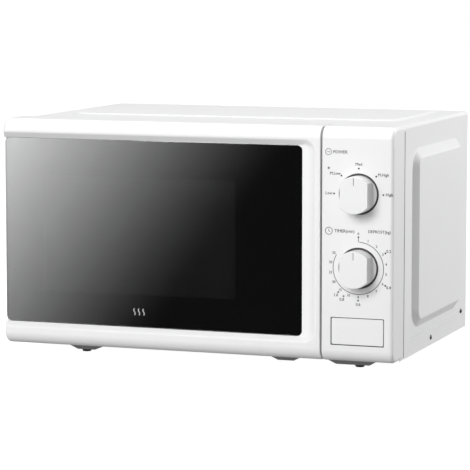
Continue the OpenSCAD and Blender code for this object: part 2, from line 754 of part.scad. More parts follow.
// Section with a quarter round above and below, its back left square
module front_corner_section(inset) {
    low = low_round - inset;
    top = top_round - inset;
    y = inset;
    z0 = front_rise + inset;
    z1 = front_h - inset;
    translate([y + top, z0 + low]) square([front_t - y - top, z1 - z0 - low]);
    translate([y + low, z0]) square([front_t - y - low, low + 0.01]);
    translate([y, z0 + low]) square([top + 0.01, z1 - z0 - low - top]);
    translate([y + top, z1 - top]) circle(top);
    translate([y + low, z0 + low]) circle(low);
}

module panel_shell() difference() {
    front_slab(panel_x, front_w, 1, side_round, 0);
    // Hollow inside, open to the back
    intersection() {
        front_slab(panel_x, front_w, 1, side_round, panel_wall);
        block([0, panel_wall, 0], [front_w, front_t, front_h]);
    }
    block([panel_x + panel_wall, front_t - 2, panel_wall + 2],
          [front_w - panel_wall, front_t + 1, front_h - panel_wall - 2]);
}

module control_panel() color(enamel) placed() {
    difference() {
        union() {
            panel_shell();
            // Cups behind the dials
            for (z = [power_z, timer_z])
                along_y([dial_x, panel_wall - 0.5, z], recess_r + cup_wall,
                        recess_d + cup_wall - panel_wall + 0.5);
        }
        for (z = [power_z, timer_z]) {
            along_y([dial_x, -1, z], recess_r, recess_d + 1);
            along_y([dial_x, -1, z], shaft_r + 0.5, recess_d + cup_wall + 2);
        }
        block([button_x - button_gap, -1, button_z - button_gap],
              [button_x + button_w + button_gap, panel_wall + 1, button_z + button_h + button_gap]);
    }
    // Bosses that stand on the front plate
    for (s = panel_screw_spots) difference() {
        along_y([s[0], panel_wall - 0.1, s[1]], 3.6, plate_y - panel_wall + 0.1);
        along_y([s[0], plate_y - 8, s[1]], screw_hole_r, 9);
    }
}

module panel_screws() color(steel) placed()
    for (s = panel_screw_spots) {
        along_y([s[0], cavity_y, s[1]], 3, 1.6);
        along_y([s[0], plate_y - 7, s[1]], screw_r, 7.8);
    }

module door_button() color(enamel) placed() {
    facing(0.3, 3.6) translate([button_x, button_z]) round_rect(button_w, button_h, 1);
    difference() {
        block([button_x + 1, 3.5, button_z + 1], [button_x + button_w - 1, 12, button_z + button_h - 1]);
        block([button_x + 3, 3.6, button_z + 3], [button_x + button_w - 3, 13, button_z + button_h - 3]);
    }
    // Stem, and the narrow nose that pushes the lever
    block([stem_x - 4, 3.5, stem_z - 4], [stem_x + 4, lever_y - 9, stem_z + 4]);
    block([stem_x - 4, 3.5, stem_z - 1.5], [stem_x + 4, lever_y - 2.3, stem_z + 1.5]);
}

// Stack of spring turns along an axis, as rings joined by a thin sleeve
module turns(r, wire, count, pitch) {
    for (i = [0:count - 1])
        translate([0, 0, wire / 2 + i * pitch])
            rotate_extrude() translate([r, 0]) circle(wire / 2, $fn = 24);
    difference() {
        translate([0, 0, wire / 2]) cylinder(r = r + 0.15, h = (count - 1) * pitch);
        translate([0, 0, -1]) cylinder(r = r - 0.15, h = count * pitch + 2);
    }
}

// Torsion spring round the lever's tube, with a leg on the bracket's side and one on the plate's
module lever_spring() color(steel) placed() {
    translate([stem_x - 30, lever_y, lever_z]) rotate([0, 90, 0]) turns(5.4, 1, 8, 1.3);
    along_y([stem_x - 29.5, cavity_y, lever_z + 5.4], 0.5, lever_y - cavity_y + 0.5);
    along_y([stem_x - 20.4, cavity_y, lever_z - 5.4], 0.5, lever_y - cavity_y + 0.5);
}

// Compression spring above the latch plate
module latch_spring() color(steel) placed()
    translate([latch_x + latch_t / 2, screen_y + 6, hook_z[1] + hook_h]) turns(2.2, 0.7, 10, 1.6);

module timer_unit() color("tan") placed() difference() {
    facing(unit_y, 44) translate([dial_x - 25, timer_z - 27]) round_rect(50, 54, 4);
    along_y([dial_x, unit_y - 1, timer_z], shaft_r + running, 30);
}

module timer_bell() color(steel) placed() {
    along_y([dial_x, 44, timer_z], 16, 5);
    along_y([dial_x, 48.9, timer_z], 3, 3);
}

module power_switch() color("black") placed() difference() {
    facing(unit_y, 34) translate([dial_x - 20, power_z - 20]) round_rect(40, 40, 4);
    along_y([dial_x, unit_y - 1, power_z], shaft_r + running, 24);
}

module dial_shaft(z, back) along_y([dial_x, -dial_h + 6, z], shaft_r, back + dial_h - 6);
module timer_shaft() color(steel) placed() dial_shaft(timer_z, 30);
module power_shaft() color(steel) placed() dial_shaft(power_z, 24);

// Dial: a round foot in the recess, and a grip with two flats and a fine pointer groove
module dial(z) difference() {
    union() {
        along_y([dial_x, dial_shelf, z], grip_r, recess_d - dial_standoff - dial_shelf);
        intersection() {
            along_y([dial_x, -dial_h, z], grip_r, dial_h + dial_shelf + 0.2);
            block([dial_x - grip_w / 2, -dial_h, z - grip_r],
                  [dial_x + grip_w / 2, dial_shelf + 0.2, z + grip_r]);
        }
    }
    along_y([dial_x, -dial_h + 5, z], shaft_r + 0.02, dial_h);
    block([dial_x - 0.5, -dial_h - 1, z + grip_r - 9], [dial_x + 0.5, -dial_h + 0.6, z + grip_r - 1]);
}

module timer_knob() color(enamel) placed() dial(timer_z);
module power_knob() color(enamel) placed() dial(power_z);

// ---- Door ----

// Outline of the glass in x and z: square on the left, round on the right
module glass_outline(grow) {
    w = glass_right - glass_x;
    h = glass_top - low_band;
    translate([glass_x - grow, low_band - grow]) {
        round_rect(w + 2 * grow, h + 2 * grow, glass_round + grow);
        square([w / 2, h + 2 * grow]);
    }
}

// Scooped slopes above and right of the glass, as wedges
module glass_slopes() {
    across(-1, glass_right) polygon([
        [-1, glass_top + bevel_rise * 1.2], [glass_sink, glass_top],
        [glass_sink, glass_top - 2], [-1, glass_top - 2]
    ]);
    translate([0, 0, low_band]) linear_extrude(glass_top - low_band) polygon([
        [glass_right + scoop_w * 1.2, -1], [glass_right, glass_sink],
        [glass_right - 2, glass_sink], [glass_right - 2, -1]
    ]);
    across(-1, glass_right) polygon([
        [-1, low_band - 4], [glass_sink, low_band], [glass_sink, low_band + 2], [-1, low_band + 2]
    ]);
    corner_slope(glass_top, bevel_rise * 1.2);
    mirror_z(low_band) corner_slope(low_band, 4);
}

module mirror_z(z) translate([0, 0, z]) mirror([0, 0, 1]) translate([0, 0, -z]) children();

// Slope at a right corner of the glass, as a hull from the wide opening to the glass
module corner_slope(z, rise) hull() {
    translate([glass_right - 2, -1, z - 2]) cube([2 + scoop_w * 1.2, 0.01, 2 + rise]);
    translate([glass_right - 2, glass_sink, z - 2]) cube([2, 0.01, 2]);
}

module door_frame() color(enamel) placed() difference() {
    front_slab(0, door_w, side_round, 1, 0);
    // Seat of the glass
    facing(-1, glass_back + 0.2) glass_outline(0.3);
    block([-1, -1, low_band - 0.3], [glass_x + 1, glass_back + 0.2, glass_top + 0.3]);
    glass_slopes();
    // Opening in the bed that backs the glass
    facing(glass_sink, 30) translate([window_x - 8, window_z - 8])
        round_rect(window_w + 16, window_h + 16, 6);
    // Hollow for the choke pan, open to the back
    block([door_wall, glass_back + bed_t + 0.2, door_wall + 7],
          [door_w - door_wall, front_t + 1, front_h - door_wall - 7]);
    // Edge beside the hinge, cut back so that it turns clear of the front plate
    linear_extrude(front_h) polygon([
        [-1, front_t - edge_cut - 1], [edge_cut + 1, front_t + 1], [-1, front_t + 1]
    ]);
    // Room for the hinge arms, and bores for their pins
    for (z = hinge_z) {
        block([-1, hinge_y - 6, z - 1], [hinge_x + 6.6, front_t + 1, z + hinge_arm_t + 1]);
        along_z([hinge_x, hinge_y, z - 5], hinge_pin_r + running, hinge_arm_t + 10);
    }
}

module door_glass() color("black", 0.8) placed()
    facing(glass_sink, glass_sink + glass_t) glass_outline(0);

// Pressed steel pan of the door: a flat ring with an upturned choke edge
module door_choke() color(steel) placed() difference() {
    facing(screen_y - 0.8, front_t - 3.2) translate([choke_x0, choke_z0 + 1.2])
        round_rect(choke_right - choke_x0, choke_top - choke_z0 - 2.4, 5);
    // Hollow between its rim and the raised middle
    facing(screen_y, front_t) translate([choke_x0 + 0.8, choke_z0 + 2])
        round_rect(choke_right - choke_x0 - 1.6, choke_top - choke_z0 - 4, 4.2);
    facing(screen_y - 2, screen_y + 1) translate([window_x - 2, window_z - 2])
        square([window_w + 4, window_h + 4]);
    // Room for the latch plate
    block([latch_x - 3, screen_y - 3, 40], [latch_x + latch_t + 3, screen_y + 1, 215]);
}

module window_screen() color("dimgray") placed()
    block([window_x - 1.8, screen_y - 0.8, window_z - 1.8],
          [window_x + window_w + 1.8, screen_y - 0.2, window_z + window_h + 1.8]);

// Plastic ring that closes the choke on the cavity side
module choke_cover() color("gray") placed() difference() {
    facing(front_t - 2.6, front_t) translate([choke_x0 + 1, choke_z0 + 2.2])
        round_rect(choke_right - choke_x0 - 2, choke_top - choke_z0 - 4.4, 4);
    facing(front_t - 3, front_t + 1) translate([cavity_x + 12, cavity_z + 12])
        round_rect(cavity_w - 26, cavity_h - 26, 8);
    for (z = prong_z)
        block([latch_x - 2, front_t - 4, z - 6], [latch_x + latch_t + 2, front_t + 1, z + 14]);
}

module inner_film() color("azure", 0.3) placed()
    facing(front_t - 3.6, front_t - 2.8) translate([cavity_x + 6, cavity_z + 6])
        round_rect(cavity_w - 14, cavity_h - 14, 8);

// Latch plate: an upright bar in the stile with a hook at each end
module latch_plate() color("white") placed() {
    block([latch_x, screen_y + 1.6, hook_z[0] - 4], [latch_x + latch_t, screen_y + 10, hook_z[1] + hook_h]);
    // Plain finger that works the monitor switch
    block([latch_x, screen_y + 1.6, finger_z], [latch_x + latch_t, hook_end, finger_z + finger_h]);
    for (z = hook_z) {
        block([latch_x, screen_y + 1.6, z], [latch_x + latch_t, hook_end - 4, z + hook_h]);
        across(latch_x, latch_x + latch_t) polygon([
            [hook_end - 7, z - barb_drop], [hook_end - 3, z - barb_drop], [hook_end, z + 2],
            [hook_end, z + hook_h], [hook_end - 7, z + hook_h]
        ]);
    }
}

// Hinge: a flat arm on a foot that is fixed to the front plate, with a pin through its end
module hinge(z) {
    block([hinge_x - 3.6, hinge_y, z], [hinge_x + 4, plate_y, z + hinge_arm_t]);
    along_z([hinge_x, hinge_y, z], 4, hinge_arm_t);
    along_z([hinge_x, hinge_y, z - 4.4], hinge_pin_r, hinge_arm_t + 8.8);
    block([inner_left, plate_y - 1.2, z - 8], [inner_left + 12, plate_y, z + hinge_arm_t + 8]);
}

module lower_hinge() color(steel) placed() hinge(hinge_z[0]);
module upper_hinge() color(steel) placed() hinge(hinge_z[1]);

outer_cabinet();
cabinet_screws();
base_plate();
rubber_feet();
rear_panel();
latch_spring();
front_plate();
cavity_liner();
waveguide();
waveguide_cover();
magnetron();
magnetron_antenna();
transformer_core();
transformer_coils();
hv_capacitor();
capacitor_clamp();
hv_diode();
fan_duct();
fan_motor();
fan_blade();
cavity_lamp();
thermal_cutout();
filter_board();
turntable_motor();
turntable_coupler();
roller_ring();
rollers_a();
rollers_b();
rollers_c();
glass_tray();
latch_bracket();
primary_switch();
secondary_switch();
monitor_switch();
primary_plunger();
secondary_plunger();
monitor_plunger();
release_lever();
lever_axle();
control_panel();
panel_screws();
door_button();
lever_spring();
timer_unit();
timer_bell();
power_switch();
timer_shaft();
timer_knob();
power_shaft();
power_knob();
door_frame();
door_glass();
door_choke();
window_screen();
choke_cover();
inner_film();
latch_plate();
upper_hinge();
lower_hinge();
cord_bush();
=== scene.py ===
import math
import json

import bmesh
import bpy
from mathutils import Matrix, Vector

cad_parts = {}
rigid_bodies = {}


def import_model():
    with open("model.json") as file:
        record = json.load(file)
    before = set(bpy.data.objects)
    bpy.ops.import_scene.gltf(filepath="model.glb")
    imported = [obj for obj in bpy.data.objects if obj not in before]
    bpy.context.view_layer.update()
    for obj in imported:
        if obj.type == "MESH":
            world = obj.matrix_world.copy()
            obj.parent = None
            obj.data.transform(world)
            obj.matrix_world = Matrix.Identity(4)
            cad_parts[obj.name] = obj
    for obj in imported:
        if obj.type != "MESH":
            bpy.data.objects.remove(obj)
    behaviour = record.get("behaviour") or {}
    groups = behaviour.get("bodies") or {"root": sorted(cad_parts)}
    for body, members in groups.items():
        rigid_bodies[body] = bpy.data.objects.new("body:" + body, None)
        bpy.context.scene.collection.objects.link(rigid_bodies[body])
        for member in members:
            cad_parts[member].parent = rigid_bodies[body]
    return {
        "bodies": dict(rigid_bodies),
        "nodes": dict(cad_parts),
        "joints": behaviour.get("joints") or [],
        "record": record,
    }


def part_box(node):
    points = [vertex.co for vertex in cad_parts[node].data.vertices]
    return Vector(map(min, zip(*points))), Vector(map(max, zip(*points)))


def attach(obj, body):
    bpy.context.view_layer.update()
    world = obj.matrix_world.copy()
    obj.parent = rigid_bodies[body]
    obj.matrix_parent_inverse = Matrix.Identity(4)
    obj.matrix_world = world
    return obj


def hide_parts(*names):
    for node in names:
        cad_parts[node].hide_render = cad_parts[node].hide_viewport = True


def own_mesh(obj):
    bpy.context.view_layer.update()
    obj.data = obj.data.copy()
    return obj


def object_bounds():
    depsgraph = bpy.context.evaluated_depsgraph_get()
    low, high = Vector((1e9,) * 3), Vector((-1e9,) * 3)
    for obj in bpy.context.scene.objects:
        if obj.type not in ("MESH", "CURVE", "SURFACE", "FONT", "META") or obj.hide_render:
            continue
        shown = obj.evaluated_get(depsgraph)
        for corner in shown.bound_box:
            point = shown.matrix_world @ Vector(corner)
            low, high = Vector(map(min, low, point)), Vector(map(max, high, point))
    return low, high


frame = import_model()
cadLow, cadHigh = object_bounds()

# Pieces are modelled in millimetres from the lower left end of the door's front crest:
# x to the right, y to the back, z up. settle() takes them to the frame, in metres.
mm = 0.001
lowBand = 25.6  # height of the glass above the level that heights are given from
doorLow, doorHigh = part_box("door_frame")
panelLow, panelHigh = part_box("control_panel")
glassLow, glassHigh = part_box("door_glass")
corner = Vector((doorLow.x, doorLow.y, glassLow.z - lowBand * mm))


def local(point):  # a place in the frame, in millimetres from the crest's corner
    return (Vector(point) - corner) / mm


front = {
    "doorWidth": local(doorHigh).x,
    "panelLeft": local(panelLow).x,
    "width": local(panelHigh).x,
    "low": local(doorLow).z,
    "height": local(doorHigh).z,
    "depth": local(doorHigh).y,
    "topRound": 13,
    "lowRound": 13,
    "sideRound": 4,
    "seamRound": 0.8,
    "wall": 2.4,
}


# Mesh helpers

def block(low, high):
    bm = bmesh.new()
    bmesh.ops.create_cube(bm, size=1)
    low, high = Vector(low), Vector(high)
    bmesh.ops.scale(bm, vec=high - low, verts=bm.verts)
    bmesh.ops.translate(bm, vec=(low + high) / 2, verts=bm.verts)
    return bm


def roundEdges(bm, edges, radius, steps=8):
    return bmesh.ops.bevel(bm, geom=edges, offset=radius, offset_type="OFFSET", segments=steps,
                           profile=0.5, affect="EDGES", material=-1, clamp_overlap=True)


def edgesWhere(bm, test):  # edges whose two ends both pass
    return [e for e in bm.edges if all(test(v.co) for v in e.verts)]


def near(a, b):
    return abs(a - b) < 1e-3


def outline(bm, low, high, depth, radius, steps=6):  # a face in x and z with round corners
    made = bmesh.ops.create_grid(bm, x_segments=1, y_segments=1, size=0.5)["verts"]
    bmesh.ops.scale(bm, vec=(high[0] - low[0], high[1] - low[1], 1), verts=made)
    bmesh.ops.rotate(bm, matrix=Matrix.Rotation(math.pi / 2, 3, "X"), verts=made)
    middle = ((low[0] + high[0]) / 2, depth, (low[1] + high[1]) / 2)
    bmesh.ops.translate(bm, vec=middle, verts=made)
    face = made[0].link_faces[0]
    if radius > 0:
        bmesh.ops.bevel(bm, geom=made, offset=radius, offset_type="OFFSET", segments=steps,
                        profile=0.5, affect="VERTICES", material=-1, clamp_overlap=True)
        face = max((f for f in bm.faces if near(f.calc_center_median().y, depth)),
                   key=lambda f: f.calc_area())
    return face


def loft(sections, steps=6):  # sections: (low, high, depth, radius), from front to back
    bm = bmesh.new()
    faces = [outline(bm, *section, steps=steps) for section in sections]
    rings = [list(face.edges) for face in faces]
    for ahead, behind in zip(rings, rings[1:]):
        bmesh.ops.bridge_loops(bm, edges=ahead + behind)
    bmesh.ops.delete(bm, geom=faces[1:-1], context="FACES_ONLY")
    bmesh.ops.recalc_face_normals(bm, faces=bm.faces)
    return bm


def spun(profile, centre, steps=64):  # profile: (radius, y) points; turned round the y axis
    bm = bmesh.new()
    verts = [bm.verts.new((r, y, 0)) for r, y in profile]
    edges = [bm.edges.new(pair) for pair in zip(verts, verts[1:])]
    bmesh.ops.spin(bm, geom=verts + edges, axis=(0, 1, 0), cent=(0, 0, 0), dvec=(0, 0, 0),
                   angle=2 * math.pi, steps=steps, use_merge=True)
    bmesh.ops.remove_doubles(bm, verts=bm.verts, dist=1e-4)
    bmesh.ops.recalc_face_normals(bm, faces=bm.faces)
    bmesh.ops.translate(bm, vec=centre, verts=bm.verts)
    return bm


def asObject(bm, name="work"):
    mesh = bpy.data.meshes.new(name)
    bm.to_mesh(mesh)
    bm.free()
    obj = bpy.data.objects.new(name, mesh)
    bpy.context.scene.collection.objects.link(obj)
    return obj


def combine(bm, tools, operation="DIFFERENCE"):  # booleans, one after another
    target = asObject(bm)
    helpers = [asObject(tool) for tool in tools]
    for helper in helpers:
        step = target.modifiers.new("cut", "BOOLEAN")
        step.operation, step.solver, step.object = operation, "EXACT", helper
    bpy.context.view_layer.update()
    result = bmesh.new()
    result.from_object(target, bpy.context.evaluated_depsgraph_get())
    for obj in [target, *helpers]:
        bpy.data.objects.remove(obj)
    bmesh.ops.remove_doubles(result, verts=result.verts, dist=1e-4)
    return result


def settle(bm):
    bmesh.ops.transform(bm, matrix=Matrix.Translation(corner) @ Matrix.Scale(mm, 4), verts=bm.verts)
    return bm


def piece(name, bm, body, slot, replaces=(), crease=32, edge=0.0, finish=None):
    settle(bm)
    for f in bm.faces:
        f.smooth = True
    for e in bm.edges:
        e.smooth = len(e.link_faces) == 2 and e.calc_face_angle() < math.radians(crease)
    obj = asObject(bm, name)
    if edge:
        soft = obj.modifiers.new("edge", "BEVEL")
        soft.width, soft.segments, soft.limit_method = edge * mm, 2, "ANGLE"
        soft.angle_limit = math.radians(crease)
        soft.use_clamp_overlap = True
    even = obj.modifiers.new("shading", "WEIGHTED_NORMAL")
    even.keep_sharp = True
    obj.data.materials.append((finish or finishes[slot]).material)
    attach(obj, body)
    if replaces:
        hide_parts(*replaces)
    return obj


# Shader helpers

class Wire:  # a socket that takes part in sums
    def __init__(self, tree, socket):
        self.tree, self.socket = tree, socket

    def maths(self, operation, *values):
        return self.tree.maths(operation, *values)

    def __add__(self, other):
        return self.maths("ADD", self, other)

    __radd__ = __add__

    def __sub__(self, other):
        return self.maths("SUBTRACT", self, other)

    def __rsub__(self, other):
        return self.maths("SUBTRACT", other, self)

    def __mul__(self, other):
        return self.maths("MULTIPLY", self, other)

    __rmul__ = __mul__


class Tree:
    def __init__(self, owner):
        owner.use_nodes = True
        self.nodes, self.links = owner.node_tree.nodes, owner.node_tree.links

    def node(self, kind, settings=None, sockets=None, output=0):
        made = self.nodes.new(kind)
        for key, value in (settings or {}).items():
            setattr(made, key, value)
        for key, value in (sockets or {}).items():
            self.put(made.inputs[key], value)
        return Wire(self, made.outputs[output])

    def maths(self, operation, *values):
        return self.node("ShaderNodeMath", {"operation": operation}, dict(enumerate(values)))

    def put(self, socket, value):
        if isinstance(value, Wire):
            self.links.new(value.socket, socket)
        else:
            socket.default_value = value

    def place(self, scale=(1, 1, 1)):  # object coordinates, stretched
        raw = self.node("ShaderNodeTexCoord", output="Object")
        return self.node("ShaderNodeMapping", {}, {"Vector": raw, "Scale": scale})

    def noise(self, scale, detail=3, rough=0.5, at=None):
        return self.node("ShaderNodeTexNoise", {}, {
            "Vector": at or self.place(), "Scale": scale, "Detail": detail, "Roughness": rough})

    def cells(self, scale):  # a colour for each cell
        return self.node("ShaderNodeTexVoronoi", {}, {"Vector": self.place(), "Scale": scale},
                         output="Color")

    def blend(self, share, a, b):  # between two colours
        return self.node("ShaderNodeMix", {"data_type": "RGBA"}, {0: share, 6: a, 7: b}, output=2)

    def remap(self, value, low, high, toLow=0.0, toHigh=1.0):
        return self.node("ShaderNodeMapRange", {"clamp": True}, {
            0: value, 1: low, 2: high, 3: toLow, 4: toHigh})


def shade(colour, factor):
    return tuple(min(1.0, c * factor) for c in colour[:3]) + (1,)


class Finish(Tree):  # a material: uniform values on the shader, patterns fed by the methods
    def __init__(self, name, colour, roughness, uniform=None):
        self.material = bpy.data.materials.new(name)
        super().__init__(self.material)
        self.shader = self.nodes["Principled BSDF"]
        self.colour = tuple(colour) + (1,)
        self.roughness = roughness
        self.feed("Base Color", self.colour)
        self.feed("Roughness", roughness)
        for key, value in (uniform or {}).items():
            self.feed(key, value)

    def feed(self, key, value):
        self.put(self.shader.inputs[key], value)

    def tone(self, pattern, spread):  # colour moves by spread either side
        self.feed("Base Color", self.blend(pattern, shade(self.colour, 1 - spread),
                                           shade(self.colour, 1 + spread)))

    def gloss(self, pattern, spread):
        self.feed("Roughness", self.roughness - spread + pattern * (2 * spread))

    def relief(self, height, depth):  # depth in metres
        self.feed("Normal", self.node("ShaderNodeBump", {}, {
            "Strength": 1.0, "Distance": depth, "Height": height}))


def moulded(name, colour, roughness=0.34, grain=0.000012, spread=0.012, uniform=None):
    made = Finish(name, colour, roughness, uniform)
    slow, fine = made.noise(9, 2), made.noise(1900, 2, 0.6)
    made.tone(slow, spread)
    made.gloss(made.noise(60, 3), 0.03)
    made.relief(fine, grain)
    return made


def painted(name, colour, roughness=0.32, peel=0.00002, spread=0.012, uniform=None):
    made = Finish(name, colour, roughness, uniform)
    made.tone(made.noise(5, 2), spread)
    made.gloss(made.noise(40, 3), 0.03)
    made.relief(made.noise(420, 2, 0.45), peel)
    return made


def rolled(name, colour, roughness=0.34):  # bare metal with a grain
    made = Finish(name, colour, roughness, {"Metallic": 1.0})
    lines = made.noise(3, 4, 0.6, made.place(scale=(2, 2, 300)))
    made.tone(lines, 0.07)
    made.gloss(lines, 0.08)
    made.relief(lines, 0.00001)
    return made


def spangled(name, colour, roughness=0.42):  # zinc flowers on galvanised sheet
    made = Finish(name, colour, roughness, {"Metallic": 1.0})
    flower = made.node("ShaderNodeSeparateColor", {}, {0: made.cells(190)})
    made.tone(flower, 0.04)
    made.gloss(flower, 0.035)
    made.relief(made.noise(300, 2), 0.000006)
    return made


def moltenGlass(name, colour, roughness=0.03, uniform=None):
    settings = {"Transmission Weight": 1.0, "IOR": 1.5}
    settings.update(uniform or {})
    made = Finish(name, colour, roughness, settings)
    made.tone(made.noise(3, 1), 0.02)
    made.gloss(made.noise(30, 2), 0.008)
    return made


def wound(name, colour):  # turns of varnished wire lying side by side
    made = Finish(name, colour, 0.3, {"Metallic": 0.6})
    turns = made.node("ShaderNodeTexWave", {"bands_direction": "X"}, {
        "Vector": made.place(), "Scale": 320, "Distortion": 0.4})
    made.tone(turns, 0.35)
    made.gloss(turns, 0.06)
    made.relief(turns, 0.0003)
    return made


def laminated(name, colour):  # edges of stacked steel sheets
    made = Finish(name, colour, 0.45, {"Metallic": 0.7})
    sheets = made.node("ShaderNodeTexWave", {"bands_direction": "Y"}, {
        "Vector": made.place(), "Scale": 600, "Distortion": 0.1})
    made.tone(sheets, 0.3)
    made.gloss(made.noise(80), 0.08)
    made.relief(sheets, 0.0001)
    return made


def slotFinishes():
    white = {"IOR": 1.45, "Coat Weight": 0.05, "Coat Roughness": 0.2}
    return {
        "cabinet_enamel": painted("cabinetEnamel", (0.82, 0.82, 0.825), 0.5, 0.00002, 0.01),
        "white_moulding": moulded("whiteMoulding", (0.85, 0.85, 0.85), 0.44, 0.000006, 0.006, white),
        "base_paint": painted("basePaint", (0.26, 0.26, 0.265), 0.42),
        "galvanised": spangled("galvanised", (0.6, 0.61, 0.63)),
        "cavity_enamel": painted("cavityEnamel", (0.6, 0.6, 0.6), 0.3, 0.00004),
        "plated_steel": rolled("platedSteel", (0.6, 0.6, 0.62), 0.3),
        "spring_wire": rolled("springWire", (0.5, 0.5, 0.52), 0.25),
        "black_rubber": moulded("blackRubber", (0.018, 0.018, 0.018), 0.7, 0.00004, 0.2),
        "mica": moulded("mica", (0.5, 0.41, 0.28), 0.55, 0.00005, 0.15),
        "magnetron_metal": rolled("magnetronMetal", (0.5, 0.51, 0.53), 0.38),
        "antenna_copper": rolled("antennaCopper", (0.6, 0.32, 0.2), 0.3),
        "core_laminations": laminated("coreLaminations", (0.12, 0.12, 0.13)),
        "coil_copper": wound("coilCopper", (0.4, 0.12, 0.04)),
        "can_aluminium": rolled("canAluminium", (0.7, 0.71, 0.72), 0.26),
        "black_plastic": moulded("blackPlastic", (0.02, 0.02, 0.02), 0.45, 0.00002, 0.15),
        "grey_plastic": moulded("greyPlastic", (0.2, 0.2, 0.205), 0.42, 0.00002, 0.05),
        "natural_plastic": moulded("naturalPlastic", (0.7, 0.68, 0.6), 0.42, 0.00002, 0.03),
        "white_nylon": moulded("whiteNylon", (0.76, 0.76, 0.74), 0.45, 0.00002, 0.02),
        "red_plastic": moulded("redPlastic", (0.4, 0.02, 0.015), 0.4, 0.00002, 0.08),
        "bakelite": moulded("bakelite", (0.2, 0.12, 0.07), 0.35, 0.00002, 0.2),
        "board_green": moulded("boardGreen", (0.03, 0.14, 0.06), 0.35, 0.00002, 0.15),
        "lamp_glass": moltenGlass("lampGlass", (0.95, 0.93, 0.85)),
        "clear_glass": moltenGlass("clearGlass", (0.86, 0.93, 0.91)),
        "smoked_glass": moltenGlass("smokedGlass", (0.38, 0.385, 0.39), 0.02, {
            "Coat Weight": 1.0, "Coat IOR": 1.9, "Coat Roughness": 0.01}),
        "screen_steel": painted("screenSteel", (0.03, 0.03, 0.03), 0.4),
        "choke_enamel": painted("chokeEnamel", (0.4, 0.4, 0.4), 0.35),
        "clear_film": moltenGlass("clearFilm", (0.9, 0.92, 0.92), 0.08, {"Alpha": 0.35}),
    }


print("finishes")
finishes = slotFinishes()
glassPrint = painted("glassPrint", (0.004, 0.004, 0.0045), 0.6, uniform={"IOR": 1.02})
windowPrint = moulded("windowPrint", (0.14, 0.14, 0.14), 0.6, 0.000004, 0.05, {
    "Alpha": 0.5, "IOR": 1.02})
dialInk = moulded("dialInk", (0.035, 0.035, 0.038), 0.5, 0.000004, 0.1)
# painted shadow: a near-black finish for pieces that stand in for the shade in gaps and joints
paintedShadow = moulded("paintedShadow", (0.05, 0.05, 0.052), 0.7, 0.00001, 0.1)
# painted shade for the floor of the dials' pointer grooves
grooveShade = moulded("grooveShade", (0.2, 0.2, 0.2), 0.5, 0.000004, 0.1)
paleInk = moulded("paleInk", (0.6, 0.6, 0.6), 0.45, 0.000004, 0.05)
darkScrew = rolled("darkScrew", (0.12, 0.12, 0.125), 0.4)

for part in frame["record"]["subparts"]:
    node = frame["nodes"][part["node"]]
    node.data.materials.clear()
    node.data.materials.append(finishes[part["material_slot"]].material)


# Camera and light

def makeCamera():
    data = bpy.data.cameras.new("camera")
    data.lens, data.sensor_width = 192.86, 36
    data.clip_start, data.clip_end = 0.1, 50
    camera = bpy.data.objects.new("camera", data)
    camera.location = (0.93883, -2.62546, 0.43821)
    camera.rotation_euler = (math.radians(90 - 6.451), 0, math.radians(19.885))
    bpy.context.scene.collection.objects.link(camera)
    bpy.context.scene.camera = camera


def softbox(name, place, size, power):  # an area light, aimed at the oven
    data = bpy.data.lights.new(name, "AREA")
    data.shape, data.size, data.size_y = "RECTANGLE", *size
    data.energy = power
    obj = bpy.data.objects.new(name, data)
    obj.location = place
    obj.rotation_euler = (Vector(lightAim) - Vector(place)).to_track_quat("-Z", "Y").to_euler()
    bpy.context.scene.collection.objects.link(obj)


lightAim = (0, 0, 0.1)
room = {
    "low": 0.41,  # brightness below the horizon, and well above it
    "high": 0.25,
    "mirror": 0.06,  # share of it that polished faces reflect
    "horizon": -0.02,
    "overhead": 0.5,
    "wallStart": math.radians(18.2),  # where the bright wall begins, left of straight ahead
    "wallSide": 6.3,  # how fast it brightens to the left, and upwards
    "wallUp": 4.7,
    "wallFoot": math.sin(math.radians(-4)),
    "wallPeak": 0.9,
    "wallEnd": math.radians(45),
    "wallFade": 0.4,
    "wallTop": (0.12, 0.4),
    "wallGain": 6.8,
}


def makeWorld():  # dim room with a bright wall to the front left, and a white backdrop
    world = bpy.data.worlds.new("studio")
    bpy.context.scene.world = world
    tree = Tree(world)
    direction = tree.node("ShaderNodeTexCoord", output="Generated")
    split = {axis: tree.node("ShaderNodeSeparateXYZ", {}, {0: direction}, output=axis) for axis in "XYZ"}
    aside = tree.maths("ARCTAN2", split["X"] * -1, split["Y"] * -1)
    rise = tree.remap(split["Z"], room["horizon"], room["overhead"], room["low"], room["high"])
    sideways = (aside - room["wallStart"]) * room["wallSide"]
    slope = sideways + (split["Z"] - room["wallFoot"]) * room["wallUp"]
    ramp = tree.remap(slope, 0, room["wallPeak"], 0, room["wallPeak"])
    fade = tree.remap(aside, room["wallEnd"], room["wallEnd"] + room["wallFade"], 1, 0)
    cap = tree.remap(split["Z"], *room["wallTop"], 1, 0)
    wall = ramp * ramp * fade * cap * room["wallGain"]
    seen = tree.node("ShaderNodeLightPath", output="Is Camera Ray")
    mirrored = tree.node("ShaderNodeLightPath", output="Is Glossy Ray")
    level = (rise * (1 - (1 - room["mirror"]) * mirrored) + wall * mirrored) * (1 - seen) + seen
    tree.put(tree.nodes["Background"].inputs["Strength"], level)
    tree.put(tree.nodes["Background"].inputs["Color"], (1, 1, 1, 1))


stageFloor = {"half": 8, "drop": 0.0002}


def makeFloor():
    bm = bmesh.new()
    bmesh.ops.create_grid(bm, x_segments=1, y_segments=1, size=stageFloor["half"])
    bmesh.ops.translate(bm, vec=(0, 0, cadLow.z - stageFloor["drop"]), verts=bm.verts)
    floor = asObject(bm, "floor")
    pale = moulded("paleFloor", (0.3, 0.3, 0.3), 0.8, 0.00001, 0.01,
                   {"Emission Color": (1, 1, 1, 1), "Emission Strength": 0.97, "IOR": 1.0})
    floor.data.materials.append(pale.material)
    floor.visible_glossy = floor.visible_diffuse = floor.visible_transmission = False


